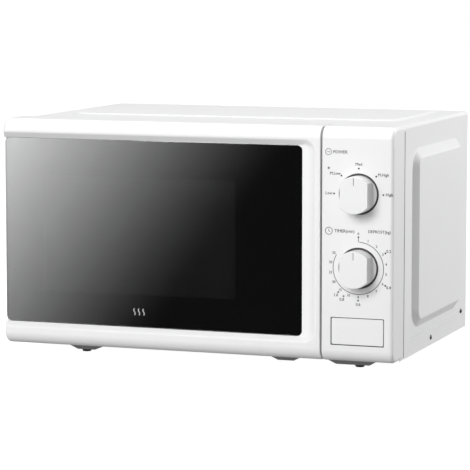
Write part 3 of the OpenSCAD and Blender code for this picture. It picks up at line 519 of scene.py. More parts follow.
print("camera and light")
makeCamera()
makeWorld()
makeFloor()
softbox("keyFront", (-0.32, -2.24, 1.22), (1.3, 1.1), 44)
softbox("keyBack", (2.85, 2.9, 1.0), (2.4, 2.1), 126)
softbox("overhead", (0, 0.2, 1.9), (1.4, 1.2), 20)


# Door

door = {
    "glassRight": local(glassHigh).x,
    "glassTop": local(glassHigh).z,
    "glassLow": local(glassLow).z,
    "glassFront": local(glassLow).y,
    "glassBack": local(glassHigh).y,
    "topSlope": 6,
    "lowSlope": 5,
    "cove": 15.6,
    "glassRound": 6,
    "recessRound": 13,
    "fit": 0.3,
    "seat": 0.2,
    "bed": 2.4,
    "print": (0.03, 0.17),  # front and back of the print, behind the glass
    "hollowInset": 7,
    "lip": [(1.6, -2), (1.25, -0.04), (0.8, 0.05), (0.4, 0.22)],  # how far out of the recess, and y
    "lipEnd": 0.08,
    "steps": 7,
}
hinge = {"edgeCut": 3.2, "slotHalf": 2.5, "slotReach": 12.6, "slotFront": 25}
window = {"x": 44, "z": 60.5, "width": 221, "height": 126, "margin": 8, "round": 6, "tintGap": 0.05}


def frontSlab(left, right, leftRound, rightRound):
    low, top, back = front["low"], front["height"], front["depth"]
    bm = block((left, 0, low), (right, back, top))
    roundEdges(bm, edgesWhere(bm, lambda p: near(p.y, 0) and near(p.z, top)), front["topRound"], 14)
    roundEdges(bm, edgesWhere(bm, lambda p: near(p.y, 0) and near(p.z, low)), front["lowRound"], 14)
    for side, radius in ((left, leftRound), (right, rightRound)):
        rim = [e for e in edgesWhere(bm, lambda p: near(p.x, side))
               if not all(near(v.co.y, back) for v in e.verts)]
        roundEdges(bm, rim, radius, 6 if radius > 2 else 3)
    return bm


def recessCutter():  # opens the front over the glass: slope above, cove at the right, slope below
    left = -20
    right, top, low = door["glassRight"], door["glassTop"], door["glassLow"]
    deep, start = door["glassFront"], door["lipEnd"]
    sections = [(out, max(y, 0) / deep, y) for out, y in door["lip"]]
    for i in range(door["steps"] + 1):
        t = start + (1 - start) * i / door["steps"]
        sections.append((0, t, deep * t))
    made = []
    for out, t, y in sections:
        reach = door["cove"] * math.sqrt(1 - t)
        radius = door["glassRound"] + (door["recessRound"] - door["glassRound"]) * (1 - t)
        made.append(((left, low - door["lowSlope"] * (1 - t) - out),
                     (right + reach + out, top + door["topSlope"] * (1 - t) + out), y, radius))
    for y in (deep + 0.01, door["glassBack"] + door["seat"]):
        made.append(((left, low - door["fit"]), (right + door["fit"], top + door["fit"]), y,
                     door["glassRound"]))
    return loft(made, 10)


def windowLoft(inset, depths, radius=2, steps=4):  # through the window's outline, inside it by inset
    low = (window["x"] + inset, window["z"] + inset)
    high = (window["x"] + window["width"] - inset, window["z"] + window["height"] - inset)
    return loft([(low, high, y, radius) for y in depths], steps)


def makeDoorFrame():
    width, height, wall, inset = front["doorWidth"], front["height"], front["wall"], door["hollowInset"]
    hollow = block((wall, door["glassBack"] + door["bed"], wall + inset),
                   (width - wall, front["depth"] + 5, height - wall - inset))
    bed = windowLoft(-window["margin"], (door["glassFront"], 30), window["round"], 6)
    bm = combine(frontSlab(0, width, front["sideRound"], front["seamRound"]),
                 [recessCutter(), hollow, bed, *hingeCutters()])
    return piece("doorFrame", bm, "door", "white_moulding", ["door_frame"])


def hingeCutters():  # the edge beside the hinge, and the room for both hinge arms
    cut, back, height = hinge["edgeCut"], front["depth"], front["height"]
    wedge = block((-cut, -cut, -5), (cut, cut, height + 5))
    bmesh.ops.rotate(wedge, matrix=Matrix.Rotation(math.pi / 4, 3, "Z"), verts=wedge.verts)
    bmesh.ops.translate(wedge, vec=(0, back + cut * (math.sqrt(2) - 1), 0), verts=wedge.verts)
    cutters = [wedge]
    for name in ("lower_hinge", "upper_hinge"):
        low, high = (local(p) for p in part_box(name))
        middle = (low.z + high.z) / 2
        cutters.append(block((-1, hinge["slotFront"], middle - hinge["slotHalf"]),
                             (hinge["slotReach"], back + 1, middle + hinge["slotHalf"])))
    return cutters


def makeDoorGlass():
    left, right = local(glassLow).x, door["glassRight"]
    low, top = door["glassLow"], door["glassTop"]
    y0, y1 = door["glassFront"], door["glassBack"]
    chamfer = 0.5
    ring = [(chamfer, y0), (0.15, y0 + 0.15), (0, y0 + chamfer), (0, y1 - chamfer),
            (0.15, y1 - 0.15), (chamfer, y1)]
    sections = [((left + d, low + d), (right - d, top - d), y, door["glassRound"]) for d, y in ring]
    bm = loft(sections, 8)
    return piece("doorGlass", bm, "door", "smoked_glass", ["door_glass"])


def makeGlassPrint():  # black enamel behind the glass, clear over the window
    left, y = local(glassLow).x, door["glassBack"]
    layer = loft([((left, door["glassLow"]), (door["glassRight"], door["glassTop"]), y + d,
                   door["glassRound"]) for d in door["print"]], 8)
    hole = windowLoft(0, (y - 1, y + 2))
    return piece("doorPrint", combine(layer, [hole]), "door", "smoked_glass", finish=glassPrint)


def makeWindowTint():  # grey print over the window, half see-through
    layer = windowLoft(window["tintGap"], [door["glassBack"] + d for d in door["print"]])
    return piece("windowTint", layer, "door", "smoked_glass", finish=windowPrint)


print("door")
makeDoorFrame()
makeDoorGlass()
makeGlassPrint()
makeWindowTint()


# Control panel

dialX = local((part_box("timer_knob")[0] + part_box("timer_knob")[1]) / 2).x
timerZ = local((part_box("timer_shaft")[0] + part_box("timer_shaft")[1]) / 2).z
powerZ = local((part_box("power_shaft")[0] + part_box("power_shaft")[1]) / 2).z
buttonLow, buttonHigh = (local(p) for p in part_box("door_button"))
panel = {
    "wall": 2.5,
    "buttonGap": 0.9,
    "shaftHole": 3.5,
    "boss": 3.6,
    "recess": 21.4,  # round recess that a dial sits in: its radius, depth, lip and the cup behind it
    "recessDepth": 2.6,
    "recessLip": 0.5,
    "cup": 1.6,
    "bossLeft": 7.5,
    "bossRight": 12.5,
    "bossBelowTimer": 42,
    "bossBelowTop": 20,
}


def makePanel():
    left, right, wall = front["panelLeft"], front["width"], panel["wall"]
    low, height, gap = front["low"] + wall, front["height"] - wall, panel["buttonGap"]
    hollow = block((left + wall, wall, low), (right - wall, front["depth"] + 5, height))
    for z, radius in ((height, front["topRound"]), (low, front["lowRound"])):
        roundEdges(hollow, edgesWhere(hollow, lambda p: near(p.y, wall) and near(p.z, z)), radius - wall)
    opening = loft([((buttonLow.x - gap, buttonLow.z - gap), (buttonHigh.x + gap, buttonHigh.z + gap),
                     y, 1.2) for y in (-3, wall + 2)], 4)
    r, deep, lip, hole = panel["recess"], panel["recessDepth"], panel["recessLip"], panel["shaftHole"]
    back = deep + panel["cup"]
    recess = [(0, -3), (r + lip, -3), (r + lip, -0.01), (r + 0.3 * lip, 0.3 * lip), (r, lip), (r, deep),
              (hole, deep), (hole, back + 2), (0, back + 2)]
    cup = [(0, wall - 0.5), (r + panel["cup"], wall - 0.5), (r + panel["cup"], back), (0, back)]
    shell = combine(frontSlab(left, right, front["seamRound"], front["sideRound"]), [hollow])
    cups = [spun(cup, (dialX, 0, z), 96) for z in (powerZ, timerZ)]
    bosses = []
    post = [(0, wall - 0.3), (panel["boss"], wall - 0.3), (panel["boss"], front["depth"] + 2),
            (0, front["depth"] + 2)]
    for x in (left + panel["bossLeft"], right - panel["bossRight"]):
        for z in (timerZ - panel["bossBelowTimer"], front["height"] - panel["bossBelowTop"]):
            bosses.append(spun(post, (x, 0, z), 24))
    bm = combine(combine(shell, cups + bosses, "UNION"),
                 [opening, *(spun(recess, (dialX, 0, z), 96) for z in (powerZ, timerZ))])
    return piece("controlPanel", bm, "oven", "white_moulding", ["control_panel"])


def makeButton():
    low, high = buttonLow, buttonHigh
    rim = [(0.9, 0.3), (0.35, 0.38), (0.1, 0.6), (0, 1.0), (0, 3.6)]
    plate = loft([((low.x + d, low.z + d), (high.x - d, high.z - d), y, 1.4) for d, y in rim], 4)
    middle = (low + high) / 2
    stem = block((middle.x - 4, 3, middle.z - 4), (middle.x + 4, high.y - 6.7, middle.z + 4))
    nose = block((middle.x - 4, 3, middle.z - 1.5), (middle.x + 4, high.y, middle.z + 1.5))
    skirt = block((low.x + 1, 3.2, low.z + 1), (high.x - 1, 12, high.z - 1))
    hollow = block((low.x + 3, 3.7, low.z + 3), (high.x - 3, 13, high.z - 3))
    bm = combine(plate, [combine(skirt, [hollow]), stem, nose], "UNION")
    return piece("doorButton", bm, "button", "white_moulding", ["door_button"])


print("control panel")
makePanel()
makeButton()

knob = {
    "radius": 19.3,
    "flats": 29.5,
    "height": 18.6,
    "shelf": 0.5,  # the foot's face lies this far behind the panel's
    "foot": 1.8,
    "faceRound": 0.9,
    "groove": 0.4,
    "grooveLength": 9,
    "grooveDepth": 0.6,
}


def makeKnob(name, node, body, z):
    r, top, soft = knob["radius"], -knob["height"], knob["faceRound"]
    shelf, foot = knob["shelf"], knob["foot"]
    bend = [(r - soft + soft * math.sin(a), top + soft - soft * math.cos(a))
            for a in (math.radians(d) for d in (0, 22.5, 45, 67.5, 90))]
    grip = spun([(0, top), *bend, (r, shelf + 0.3), (0, shelf + 0.3)], (dialX, 0, z), 96)
    half = knob["flats"] / 2
    trim = block((dialX - half, top - 5, z - r - 5), (dialX + half, 5, z + r + 5))
    grip = combine(grip, [trim], "INTERSECT")
    base = spun([(0, shelf), (r - 0.4, shelf), (r - 0.1, shelf + 0.1), (r, shelf + 0.4), (r, foot),
                 (0, foot)], (dialX, 0, z), 96)
    w = knob["groove"]
    groove = block((dialX - w, top - 1, z + r - knob["grooveLength"]),
                   (dialX + w, top + knob["grooveDepth"], z + r - 1))
    bore = spun([(0, top + 5), (3.02, top + 5), (3.02, 5), (0, 5)], (dialX, 0, z), 32)
    bm = combine(combine(base, [grip], "UNION"), [groove, bore])
    return piece(name, bm, body, "white_moulding", [node], edge=0.2)


def makeWell(name, z):  # painted shade: a dark ring standing for the shade in the gap between a dial and its recess
    inner, outer = knob["radius"] + 0.25, panel["recess"] + 0.1
    ring = spun([(inner, 0.9), (outer, 0.8), (outer, panel["recessDepth"] - 0.02),
                 (inner, panel["recessDepth"] - 0.02), (inner, 0.9)], (dialX, 0, z), 96)
    return piece(name, ring, "oven", "white_moulding", finish=paintedShadow)


def makeButtonWell():  # painted shade: a dark frame standing for the shade in the gap round the door button
    clear, reach = 0.12, panel["buttonGap"] + 0.1
    y0, y1 = 0.6, panel["wall"] - 0.1
    frame = loft([((buttonLow.x - reach, buttonLow.z - reach), (buttonHigh.x + reach, buttonHigh.z + reach),
                   y, 1.2) for y in (y0, y1)], 4)
    hole = loft([((buttonLow.x - clear, buttonLow.z - clear), (buttonHigh.x + clear, buttonHigh.z + clear),
                  y, 1.4) for y in (y0 - 1, y1 + 1)], 4)
    return piece("buttonShadeRing", combine(frame, [hole]), "oven", "white_moulding", finish=paintedShadow)


def makePointer(name, body, z):  # grey paint at the bottom of a dial's groove: painted shade that darkens the cut groove
    r, top = knob["radius"], -knob["height"] + knob["grooveDepth"]
    w = knob["groove"]
    strip = block((dialX - w, top - 0.04, z + r - knob["grooveLength"]), (dialX + w, top + 0.02, z + r - 1))
    return piece(name, strip, body, "white_moulding", finish=grooveShade)


print("dials")
makeKnob("timerKnob", "timer_knob", "timer_dial", timerZ)
makeKnob("powerKnob", "power_knob", "power_dial", powerZ)
makePointer("timerPointer", "timer_dial", timerZ)
makePointer("powerPointer", "power_dial", powerZ)
makeWell("timerShadeRing", timerZ)
makeWell("powerShadeRing", powerZ)
makeButtonWell()


# Printing on the panel

ink = {"thick": 0.04, "bold": 0.07, "line": 0.7, "dot": 1.0, "small": 4.2, "heading": 4.5}


def merged(parts):  # several meshes as one
    whole = bmesh.new()
    for part in parts:
        mesh = bpy.data.meshes.new("part")
        part.to_mesh(mesh)
        part.free()
        whole.from_mesh(mesh)
        bpy.data.meshes.remove(mesh)
    return whole


def fromCurve(curve, place):
    obj = bpy.data.objects.new("shape", curve)
    bpy.context.scene.collection.objects.link(obj)
    bpy.context.view_layer.update()
    mesh = bpy.data.meshes.new_from_object(obj.evaluated_get(bpy.context.evaluated_depsgraph_get()))
    bpy.data.objects.remove(obj)
    bm = bmesh.new()
    bm.from_mesh(mesh)
    bmesh.ops.remove_doubles(bm, verts=bm.verts, dist=1e-4)
    bmesh.ops.transform(bm, matrix=Matrix.Translation(place) @ Matrix.Rotation(math.pi / 2, 4, "X"),
                        verts=bm.verts)
    return bm


def word(text, size, x, z, y=0.0, align="CENTER"):
    curve = bpy.data.curves.new("word", "FONT")
    curve.body, curve.size, curve.resolution_u = text, size, 3
    curve.align_x, curve.align_y = align, "CENTER"
    curve.extrude = ink["thick"] / 2
    curve.bevel_depth, curve.bevel_resolution = ink["bold"], 0
    return fromCurve(curve, (x, y - ink["thick"] / 2, z))


def line(points, x, z, width, y=0.0, closed=False):  # a printed line through points round (x, z)
    curve = bpy.data.curves.new("line", "CURVE")
    curve.dimensions = "3D"
    curve.bevel_depth, curve.bevel_resolution = width / 2, 1
    curve.use_fill_caps = True
    spline = curve.splines.new("POLY")
    spline.points.add(len(points) - 1)
    for target, (px, pz) in zip(spline.points, points):
        target.co = (px, pz, 0, 1)
    spline.use_cyclic_u = closed
    bm = fromCurve(curve, (0, 0, 0))
    bmesh.ops.scale(bm, vec=(1, ink["thick"] / width, 1), verts=bm.verts)
    bmesh.ops.translate(bm, vec=(x, y - ink["thick"] / 4, z), verts=bm.verts)
    bmesh.ops.recalc_face_normals(bm, faces=bm.faces)
    return bm


def clockwise(degrees, radius):  # x and z of a place round a dial, from 12 o'clock
    a = math.radians(degrees)
    return radius * math.sin(a), radius * math.cos(a)


def ring(x, z, radius, width, first=0, last=360):
    count = max(12, round((last - first) / 5))
    closed = last - first >= 360
    angles = [first + (last - first) * i / count for i in range(count if closed else count + 1)]
    return line([clockwise(a, radius) for a in angles], x, z, width, closed=closed)


def dot(x, z, radius):
    t = ink["thick"]
    return spun([(0, -t), (radius, -t), (radius, t), (0, t)], (x, 0, z), 16)


def dialDot(z, degrees, radius):
    dx, dz = clockwise(degrees, radius)
    return dot(dialX + dx, z + dz, ink["dot"])


powerPrint = {
    "dots": 26.5,
    "heading": (374.2, 220.2),
    "icon": (369.3, 220.3, 3.2),
    "labels": [("Low", -90, -32.2, 0.2), ("M.Low", -45, -25.4, 20.8), ("Med", 0, 0, 30.8),
               ("M.High", 45, 26.4, 20.4), ("High", 90, 32.8, 0.2)],
    "flake": (369.6, 203.6, 1.5),
}
timerPrint = {
    "arc": 27.2,
    "end": 300,
    "step": 20,
    "numbers": [0, 1, 2, 3, 4, 5, 6, 7, 8, 9, 10, 15, 20, 25, 30, 35],
    "numberRing": 30.4,
    "zeroRing": 35.6,
    "startDot": 32.4,
    "heading": (376.0, 138.5),
    "headingRight": (436.6, 138.9),
    "icon": (370.0, 138.4, 3.7),
    "weights": [("0.2", 60), ("0.4", 120), ("0.6", 180), ("0.8", 208), ("1.0", 220)],
    "weightDots": 33.5,
    "weightRing": 37.6,
}


def makePowerPrint():
    p, thin = powerPrint, ink["line"]
    x, z, r = p["icon"]
    parts = [word("POWER", ink["heading"], *p["heading"], align="LEFT"), ring(x, z, r, thin * 0.8)]
    parts.append(line([(-1.6, -0.5), (-0.6, 0.6), (0.4, -0.5), (1.6, 0.7)], x, z, thin * 0.8))
    for text, degrees, dx, dz in p["labels"]:
        parts.append(dialDot(powerZ, degrees, p["dots"]))
        parts.append(word(text, ink["small"], dialX + dx, powerZ + dz))
    x, z, r = p["flake"]
    for degrees in (0, 60, 120):
        dx, dz = clockwise(degrees, r)
        parts.append(line([(-dx, -dz), (dx, dz)], x, z, thin * 0.8))
    return parts


def makeTimerPrint():
    p, thin = timerPrint, ink["line"]
    x, z, r = p["icon"]
    parts = [word("TIMER(min)", ink["heading"], *p["heading"], align="LEFT"),
             word("DEFROST(kg)", ink["small"], *p["headingRight"], align="RIGHT"),
             ring(x, z, r, thin), line([(0, 2.2), (0, 0), (1.6, -1.1)], x, z, thin),
             ring(dialX, timerZ, p["arc"], thin, 2, p["end"]),
             line([(0, p["arc"]), (0, p["startDot"])], dialX, timerZ, thin),
             dialDot(timerZ, 0, p["startDot"])]
    for i, number in enumerate(p["numbers"]):
        dx, dz = clockwise(i * p["step"], p["numberRing"] if i else p["zeroRing"])
        parts.append(word(str(number), ink["small"] * 0.9, dialX + dx, timerZ + dz))
    for text, degrees in p["weights"]:
        parts.append(dialDot(timerZ, degrees, p["weightDots"]))
        dx, dz = clockwise(degrees, p["weightRing"])
        parts.append(word(text, ink["small"], dialX + dx, timerZ + dz))
    return parts


def makeMark():  # three short wavy lines, low on the glass
    mark = {"x": 156, "z": 42.5, "gap": 5.2, "height": 7, "swing": 0.9, "width": 0.9}
    points = [(mark["swing"] * math.sin(i / 12 * 2 * math.pi), mark["height"] * (i / 12 - 0.5))
              for i in range(13)]
    parts = [line(points, mark["x"] + side * mark["gap"], mark["z"], mark["width"], door["glassFront"])
             for side in (-1, 0, 1)]
    piece("glassMark", merged(parts), "door", "smoked_glass", finish=paleInk)


print("printing")
piece("powerPrint", merged(makePowerPrint()), "oven", "white_moulding", finish=dialInk)
piece("timerPrint", merged(makeTimerPrint()), "oven", "white_moulding", finish=dialInk)
makeMark()


# Cabinet

cabinetLow, cabinetHigh = (local(p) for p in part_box("outer_cabinet"))
sheet = {
    "thick": 0.7,
    "left": 4.5,
    "right": front["width"] - 4.5,
    "front": cabinetLow.y,
    "back": cabinetHigh.y,
    "low": cabinetLow.z,
    "top": cabinetHigh.z - 1.5,
    "round": 4,
}
creases = {"heights": (14.2, 18.4), "half": 0.7, "deep": 0.6, "fromFront": 38, "fromBack": 14}
# the groove is cut in the sheet; fill sets how far the painted-shadow strip sits below the sheet's face
joint = {"near": 55.3, "far": 57.6, "deep": 0.45, "fill": 0.15, "low": 2, "top": 6}
sidePress = {
    "low": (84.5, 26.6),
    "high": (277.5, 217.7),
    "rise": 6,
    "slope": 9.3,
    "outerRound": 24,
    "innerRound": 10,
    "fillet": 3,
}
topPress = {
    "low": (30.5, 115.5),
    "high": (409, 288.5),
    "rise": 1.5,
    "slope": 4,
    "outerRound": 16,
    "innerRound": 12,
    "fillet": 4,
}


def pressing(spec, skin=0.0):  # a raised field with soft edges, facing the front, its foot at y 0
    tilt = math.atan2(spec["rise"], spec["slope"])
    r, lead = spec["fillet"], spec["fillet"] * math.tan(tilt / 2)
    bends = [tilt * i / 4 for i in range(5)]
    profile = [(-lead + r * math.sin(a), r * (1 - math.cos(a))) for a in bends]
    profile += [(spec["slope"] + lead - r * math.sin(a), spec["rise"] - r * (1 - math.cos(a)))
                for a in reversed(bends)]
    sections = []
    for inset, height in reversed(profile):
        share = min(max(inset / spec["slope"], 0), 1)
        radius = spec["outerRound"] + (spec["innerRound"] - spec["outerRound"]) * share
        grow = inset + skin * math.tan(tilt / 2)
        sections.append(((spec["low"][0] + grow, spec["low"][1] + grow),
                         (spec["high"][0] - grow, spec["high"][1] - grow),
                         skin - height - 0.005, radius))
    sections.append((*sections[-1][:2], 3.0, sections[-1][3]))
    return loft(sections, 10)


def turned(bm, matrix):
    bmesh.ops.transform(bm, matrix=matrix, verts=bm.verts)
    if matrix.determinant() < 0:
        bmesh.ops.reverse_faces(bm, faces=bm.faces)
    return bm


def cabinetVolume(skin):
    spec = sheet
    over = 0 if skin == 0 else 5
    bm = block((spec["left"] + skin, spec["front"] - over, spec["low"] - over),
               (spec["right"] - skin, spec["back"] + over, spec["top"] - skin))
    top = spec["top"] - skin
    for x in (spec["left"] + skin, spec["right"] - skin):
        roundEdges(bm, edgesWhere(bm, lambda p: near(p.x, x) and near(p.z, top)), spec["round"] - skin, 6)
    toRight = Matrix.Translation((spec["right"], 0, 0)) @ Matrix.Rotation(math.pi / 2, 4, "Z")
    mirror = Matrix.Translation((front["width"], 0, 0)) @ Matrix.Scale(-1, 4, (1, 0, 0))
    toTop = Matrix.Translation((0, 0, spec["top"])) @ Matrix.Rotation(-math.pi / 2, 4, "X")
    fields = [turned(pressing(sidePress, skin), toRight),
              turned(pressing(sidePress, skin), mirror @ toRight),
              turned(pressing(topPress, skin), toTop)]
    return combine(bm, fields, "UNION")


def makeCabinet():
    cutters = [cabinetVolume(sheet["thick"])]
    for x in (sheet["left"] - 1, sheet["right"] - creases["deep"]):
        for z in creases["heights"]:  # two fine creases along the foot of each side
            cutters.append(block((x, sheet["front"] + creases["fromFront"], z - creases["half"]),
                                 (x + 1 + creases["deep"], sheet["back"] - creases["fromBack"],
                                  z + creases["half"])))
    cutters += jointStrips(joint["deep"], 1)
    bm = combine(cabinetVolume(0), cutters)
    return piece("outerCabinet", bm, "oven", "cabinet_enamel", ["outer_cabinet"])


def jointStrips(deep, proud):  # along the upright joint just behind the front, on both sides
    low, top = sheet["low"] + joint["low"], sheet["top"] - joint["top"]
    return [block((x0, joint["near"], low), (x1, joint["far"], top))
            for x0, x1 in ((sheet["left"] - proud, sheet["left"] + deep),
                           (sheet["right"] - deep, sheet["right"] + proud))]


def makeJoint():
    # painted shadow: a dark strip in the cut joint groove stands for the shadow behind the panel's back
    # edge
    strips = merged(jointStrips(joint["deep"], -joint["fill"]))
    return piece("cabinetJointShadow", strips, "oven", "cabinet_enamel", finish=paintedShadow)


screw = {
    "radius": 2.7,
    "rise": 1.5,
    "shank": 1.6,
    "length": 1.3,
    "slot": 0.45,
    "slotLength": 1.5,
    "slotDepth": 0.7,
    "sides": [(sheet["back"] - 23, 18.8), (162.5, 7)],  # y and z of the two on each side
}


def screwAt(place, turn):  # a round-headed screw with a cross; its head faces -y before the turn
    r, rise = screw["radius"], screw["rise"]
    head = [(r * math.sin(a), -rise * math.cos(a)) for a in (math.radians(d) for d in range(0, 91, 15))]
    bm = spun([*head, (screw["shank"], 0), (screw["shank"], screw["length"]), (0, screw["length"])],
              (0, 0, 0), 20)
    w, reach = screw["slot"] / 2, screw["slotLength"]
    floor = screw["slotDepth"] - rise
    cross = [block((-reach, -rise - 1, -w), (reach, floor, w)),
             block((-w, -rise - 1, -reach), (w, floor, reach))]
    return turned(combine(bm, cross), Matrix.Translation(place) @ Matrix.Rotation(turn, 4, "Z"))


def makeScrews():
    back = sheet["back"]
    parts = []
    for y, z in screw["sides"]:
        parts.append(screwAt((sheet["right"], y, z), math.pi / 2))
        parts.append(screwAt((sheet["left"], y, z), -math.pi / 2))
    for x, z in rear["screws"]:
        parts.append(screwAt((x, back - 0.6, z), math.pi))
    piece("cabinetScrews", merged(parts), "oven", "plated_steel", ["cabinet_screws"], finish=darkScrew)


# Rear

rearLow, rearHigh = (local(p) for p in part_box("rear_panel"))
bushLow, bushHigh = (local(p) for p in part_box("cord_bush"))
rear = {
    "thick": 0.8,
    "face": sheet["back"] - 1.4,
    "low": (14, 16),  # the bulge that makes room for the cavity
    "high": (336, 237),
    "round": 14,
    "fillet": 3,
    "bushHole": 8,
    "slot": (16, 2.6),
    "bank": (350, 80, 25, 8, 3, 9),  # first slot, steps, and counts
    "bulgeBank": (70, 190, 34, 8, 6, 4),
    "screws": [(10.7, 60), (10.7, 200), (428.8, 60), (428.8, 200), (120, 240.8), (300, 240.8)],
}


def bulge(skin):  # the pressed bulge, its foot and its rim rounded
    r, back = rear["fillet"], rearHigh.y - skin
    foot = rear["face"] + rear["thick"] - skin
    bends = [math.radians(d) for d in (0, 22.5, 45, 67.5, 90)]
    profile = [(-r * (1 - math.sin(a)), foot + r * (1 - math.cos(a))) for a in bends]
    profile += [(r * (1 - math.cos(a)), back - r * (1 - math.sin(a))) for a in bends]
    sections = []
    for inset, y in [(-r, rear["face"] - 1 if skin else foot - 0.3), *profile]:
        grow = inset + skin
        radius = max(rear["round"] - grow, 2)
        sections.append(((rear["low"][0] + grow, rear["low"][1] + grow),
                         (rear["high"][0] - grow, rear["high"][1] - grow), y, radius))
    return loft(sections, 8)


def slotBank(spec, y):
    x0, z0, stepX, stepZ, columns, rows = spec
    width, height = rear["slot"]
    cutters = []
    for i in range(columns):
        for j in range(rows):
            low = (x0 + i * stepX, z0 + j * stepZ)
            high = (low[0] + width, low[1] + height)
            cutters.append(loft([(low, high, y + d, height / 2 - 0.01) for d in (-4, 4)], 4))
    return merged(cutters)


def makeRear():
    plate = loft([((rearLow.x, rearLow.z), (rearHigh.x, rearHigh.z), rear["face"] + d, 3)
                  for d in (0, rear["thick"])], 4)
    hole = rear["bushHole"]
    bushHole = spun([(0, -5), (hole, -5), (hole, 5), (0, 5)],
                    ((bushLow.x + bushHigh.x) / 2, rear["face"], (bushLow.z + bushHigh.z) / 2), 48)
    bm = combine(combine(plate, [bulge(0)], "UNION"),
                 [bulge(rear["thick"]), slotBank(rear["bank"], rear["face"]),
                  slotBank(rear["bulgeBank"], rearHigh.y), bushHole])
    return piece("rearPanel", bm, "oven", "galvanised", ["rear_panel"])


feet = {"x": (73, 387), "y": (57, 268), "radius": 5, "height": 2.4, "stem": 2}


def upright(profile, steps):  # profile: (radius, z) points; turned round the z axis
    lying = spun([(r, -z) for r, z in profile], (0, 0, 0), steps)
    return turned(lying, Matrix.Rotation(-math.pi / 2, 4, "X"))


def makeFeet():
    low, high = (local(p).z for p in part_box("rubber_feet"))
    r, top, stem = feet["radius"], low + feet["height"], feet["stem"]
    profile = [(0, low), (r - 1, low), (r - 0.3, low + 0.3), (r, low + 1), (r, top), (stem, top + 0.2),
               (stem, high), (0, high)]
    parts = [turned(upright(profile, 32), Matrix.Translation((x, y, 0)))
             for x in feet["x"] for y in feet["y"]]
    return piece("rubberFeet", merged(parts), "oven", "black_rubber", ["rubber_feet"])


print("cabinet")
makeCabinet()
makeJoint()
print("rear and feet")
makeRear()
makeScrews()
makeFeet()

# Inside the door and the oven

screenLow, screenHigh = (local(p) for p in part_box("window_screen"))
trayLow, trayHigh = (local(p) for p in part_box("glass_tray"))
screen = {"pitch": 3.0, "bridge": 0.55, "corner": 0.55, "thick": 0.5, "rim": 6}
tray = {"well": 15, "rim": 5, "thick": 4, "round": 1.2, "wings": 3, "wing": (14.8, 3.6, 2.6)}


def makeScreen():  # steel sheet with a field of holes, each with eight sides
    pitch = screen["pitch"]
    width, height = screenHigh.x - screenLow.x, screenHigh.z - screenLow.z
    columns, rows = (int((size - 2 * screen["rim"]) / pitch) for size in (width, height))
    bm = bmesh.new()
    bmesh.ops.create_grid(bm, x_segments=columns, y_segments=rows, size=0.5)
    bmesh.ops.scale(bm, vec=(columns * pitch, rows * pitch, 1), verts=bm.verts)
    border = [e for e in bm.edges if e.is_boundary]
    cells = list(bm.faces)
    grown = bmesh.ops.extrude_edge_only(bm, edges=border)["geom"]
    rim = [v for v in grown if isinstance(v, bmesh.types.BMVert)]
    bmesh.ops.scale(bm, vec=(width / (columns * pitch), height / (rows * pitch), 1), verts=rim)
    bmesh.ops.inset_individual(bm, faces=cells, thickness=screen["bridge"])
    corners = list({v for f in cells for v in f.verts})
    bmesh.ops.bevel(bm, geom=corners, offset=screen["corner"], offset_type="OFFSET", segments=1,
                    profile=0.5, affect="VERTICES", material=-1)
    holes = [f for f in bm.faces if len(f.verts) == 8]
    bmesh.ops.delete(bm, geom=holes, context="FACES")
    bmesh.ops.recalc_face_normals(bm, faces=bm.faces)
    bmesh.ops.solidify(bm, geom=bm.faces, thickness=screen["thick"])
    bmesh.ops.rotate(bm, matrix=Matrix.Rotation(math.pi / 2, 3, "X"), verts=bm.verts)
    middle = (screenLow + screenHigh) / 2
    lift = middle.y - sum(v.co.y for v in bm.verts) / len(bm.verts)
    bmesh.ops.translate(bm, vec=(middle.x, lift, middle.z), verts=bm.verts)
    bmesh.ops.recalc_face_normals(bm, faces=bm.faces)
    return piece("windowScreen", bm, "door", "screen_steel", ["window_screen"])


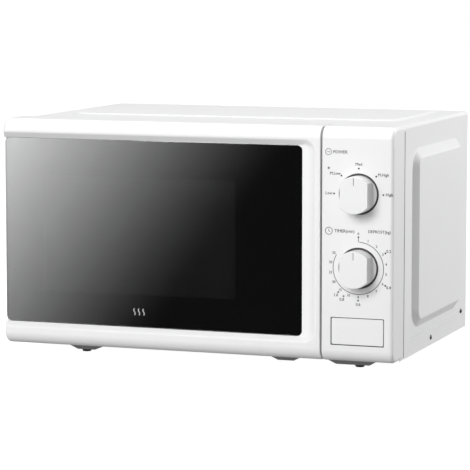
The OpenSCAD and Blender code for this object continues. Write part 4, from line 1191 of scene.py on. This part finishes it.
def makeTray():
    r, low, top = (trayHigh.x - trayLow.x) / 2, trayLow.z, trayHigh.z
    t, well, soft = tray["thick"], tray["well"], tray["round"]
    bend = [(soft * math.sin(a), soft * (1 - math.cos(a))) for a in (math.radians(d) for d in (30, 60, 90))]
    edge, rim = low + 7, r - tray["rim"]  # foot of the rim's outer side, and its inner edge
    profile = [(0, low), (r - well, low), (r - well + 3, low + 0.6), (r - 4, edge - 0.6), (r - soft, edge)]
    profile += [(r - soft + dx, edge + dz) for dx, dz in bend]
    profile += [(r - dz, top - soft + dx) for dx, dz in bend]
    profile += [(rim, top), (rim - 1.4, top - 0.6), (r - well - 1, low + t + 0.5), (r - well - 4, low + t),
                (0, low + t)]
    centre = (trayLow + trayHigh) / 2
    toCentre = Matrix.Translation((centre.x, centre.y, 0))
    bm = turned(upright(profile, 128), toCentre)
    reach, half, deep = tray["wing"]
    wings = []
    for k in range(tray["wings"]):  # grooves under the tray that take the coupler's wings
        turn = Matrix.Rotation(2 * math.pi * k / tray["wings"], 4, "Z")
        wings.append(turned(block((-1, -half, low - 1), (reach, half, low + deep)), toCentre @ turn))
    return piece("glassTray", combine(bm, wings), "tray", "clear_glass", ["glass_tray"])


spring = {"radius": 2.2, "wire": 0.35, "turns": 7, "steps": 24, "lift": 4.5}


def makeLatchSpring():  # a coil over the latch plate
    low, high = (local(p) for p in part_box("latch_spring"))
    middle, wire = (low + high) / 2, spring["wire"]
    bm = bmesh.new()
    bmesh.ops.create_circle(bm, segments=8, radius=wire)
    bmesh.ops.rotate(bm, matrix=Matrix.Rotation(math.pi / 2, 3, "X"), verts=bm.verts)
    bmesh.ops.translate(bm, vec=(spring["radius"], 0, 0), verts=bm.verts)
    steps = spring["turns"] * spring["steps"]
    bmesh.ops.spin(bm, geom=[*bm.verts, *bm.edges], axis=(0, 0, 1), cent=(0, 0, 0),
                   dvec=(0, 0, (high.z - low.z - 2 * wire) / steps),
                   angle=spring["turns"] * 2 * math.pi, steps=steps)
    bmesh.ops.holes_fill(bm, edges=[e for e in bm.edges if e.is_boundary], sides=8)
    bmesh.ops.translate(bm, vec=(middle.x, middle.y, low.z + wire), verts=bm.verts)
    bmesh.ops.recalc_face_normals(bm, faces=bm.faces)
    coil = piece("latchSpring", bm, "door", "spring_wire", ["latch_spring"])
    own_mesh(coil)


print("inside")
makeScreen()
makeTray()
makeLatchSpring()

bpy.context.scene.view_settings.view_transform = "Standard"
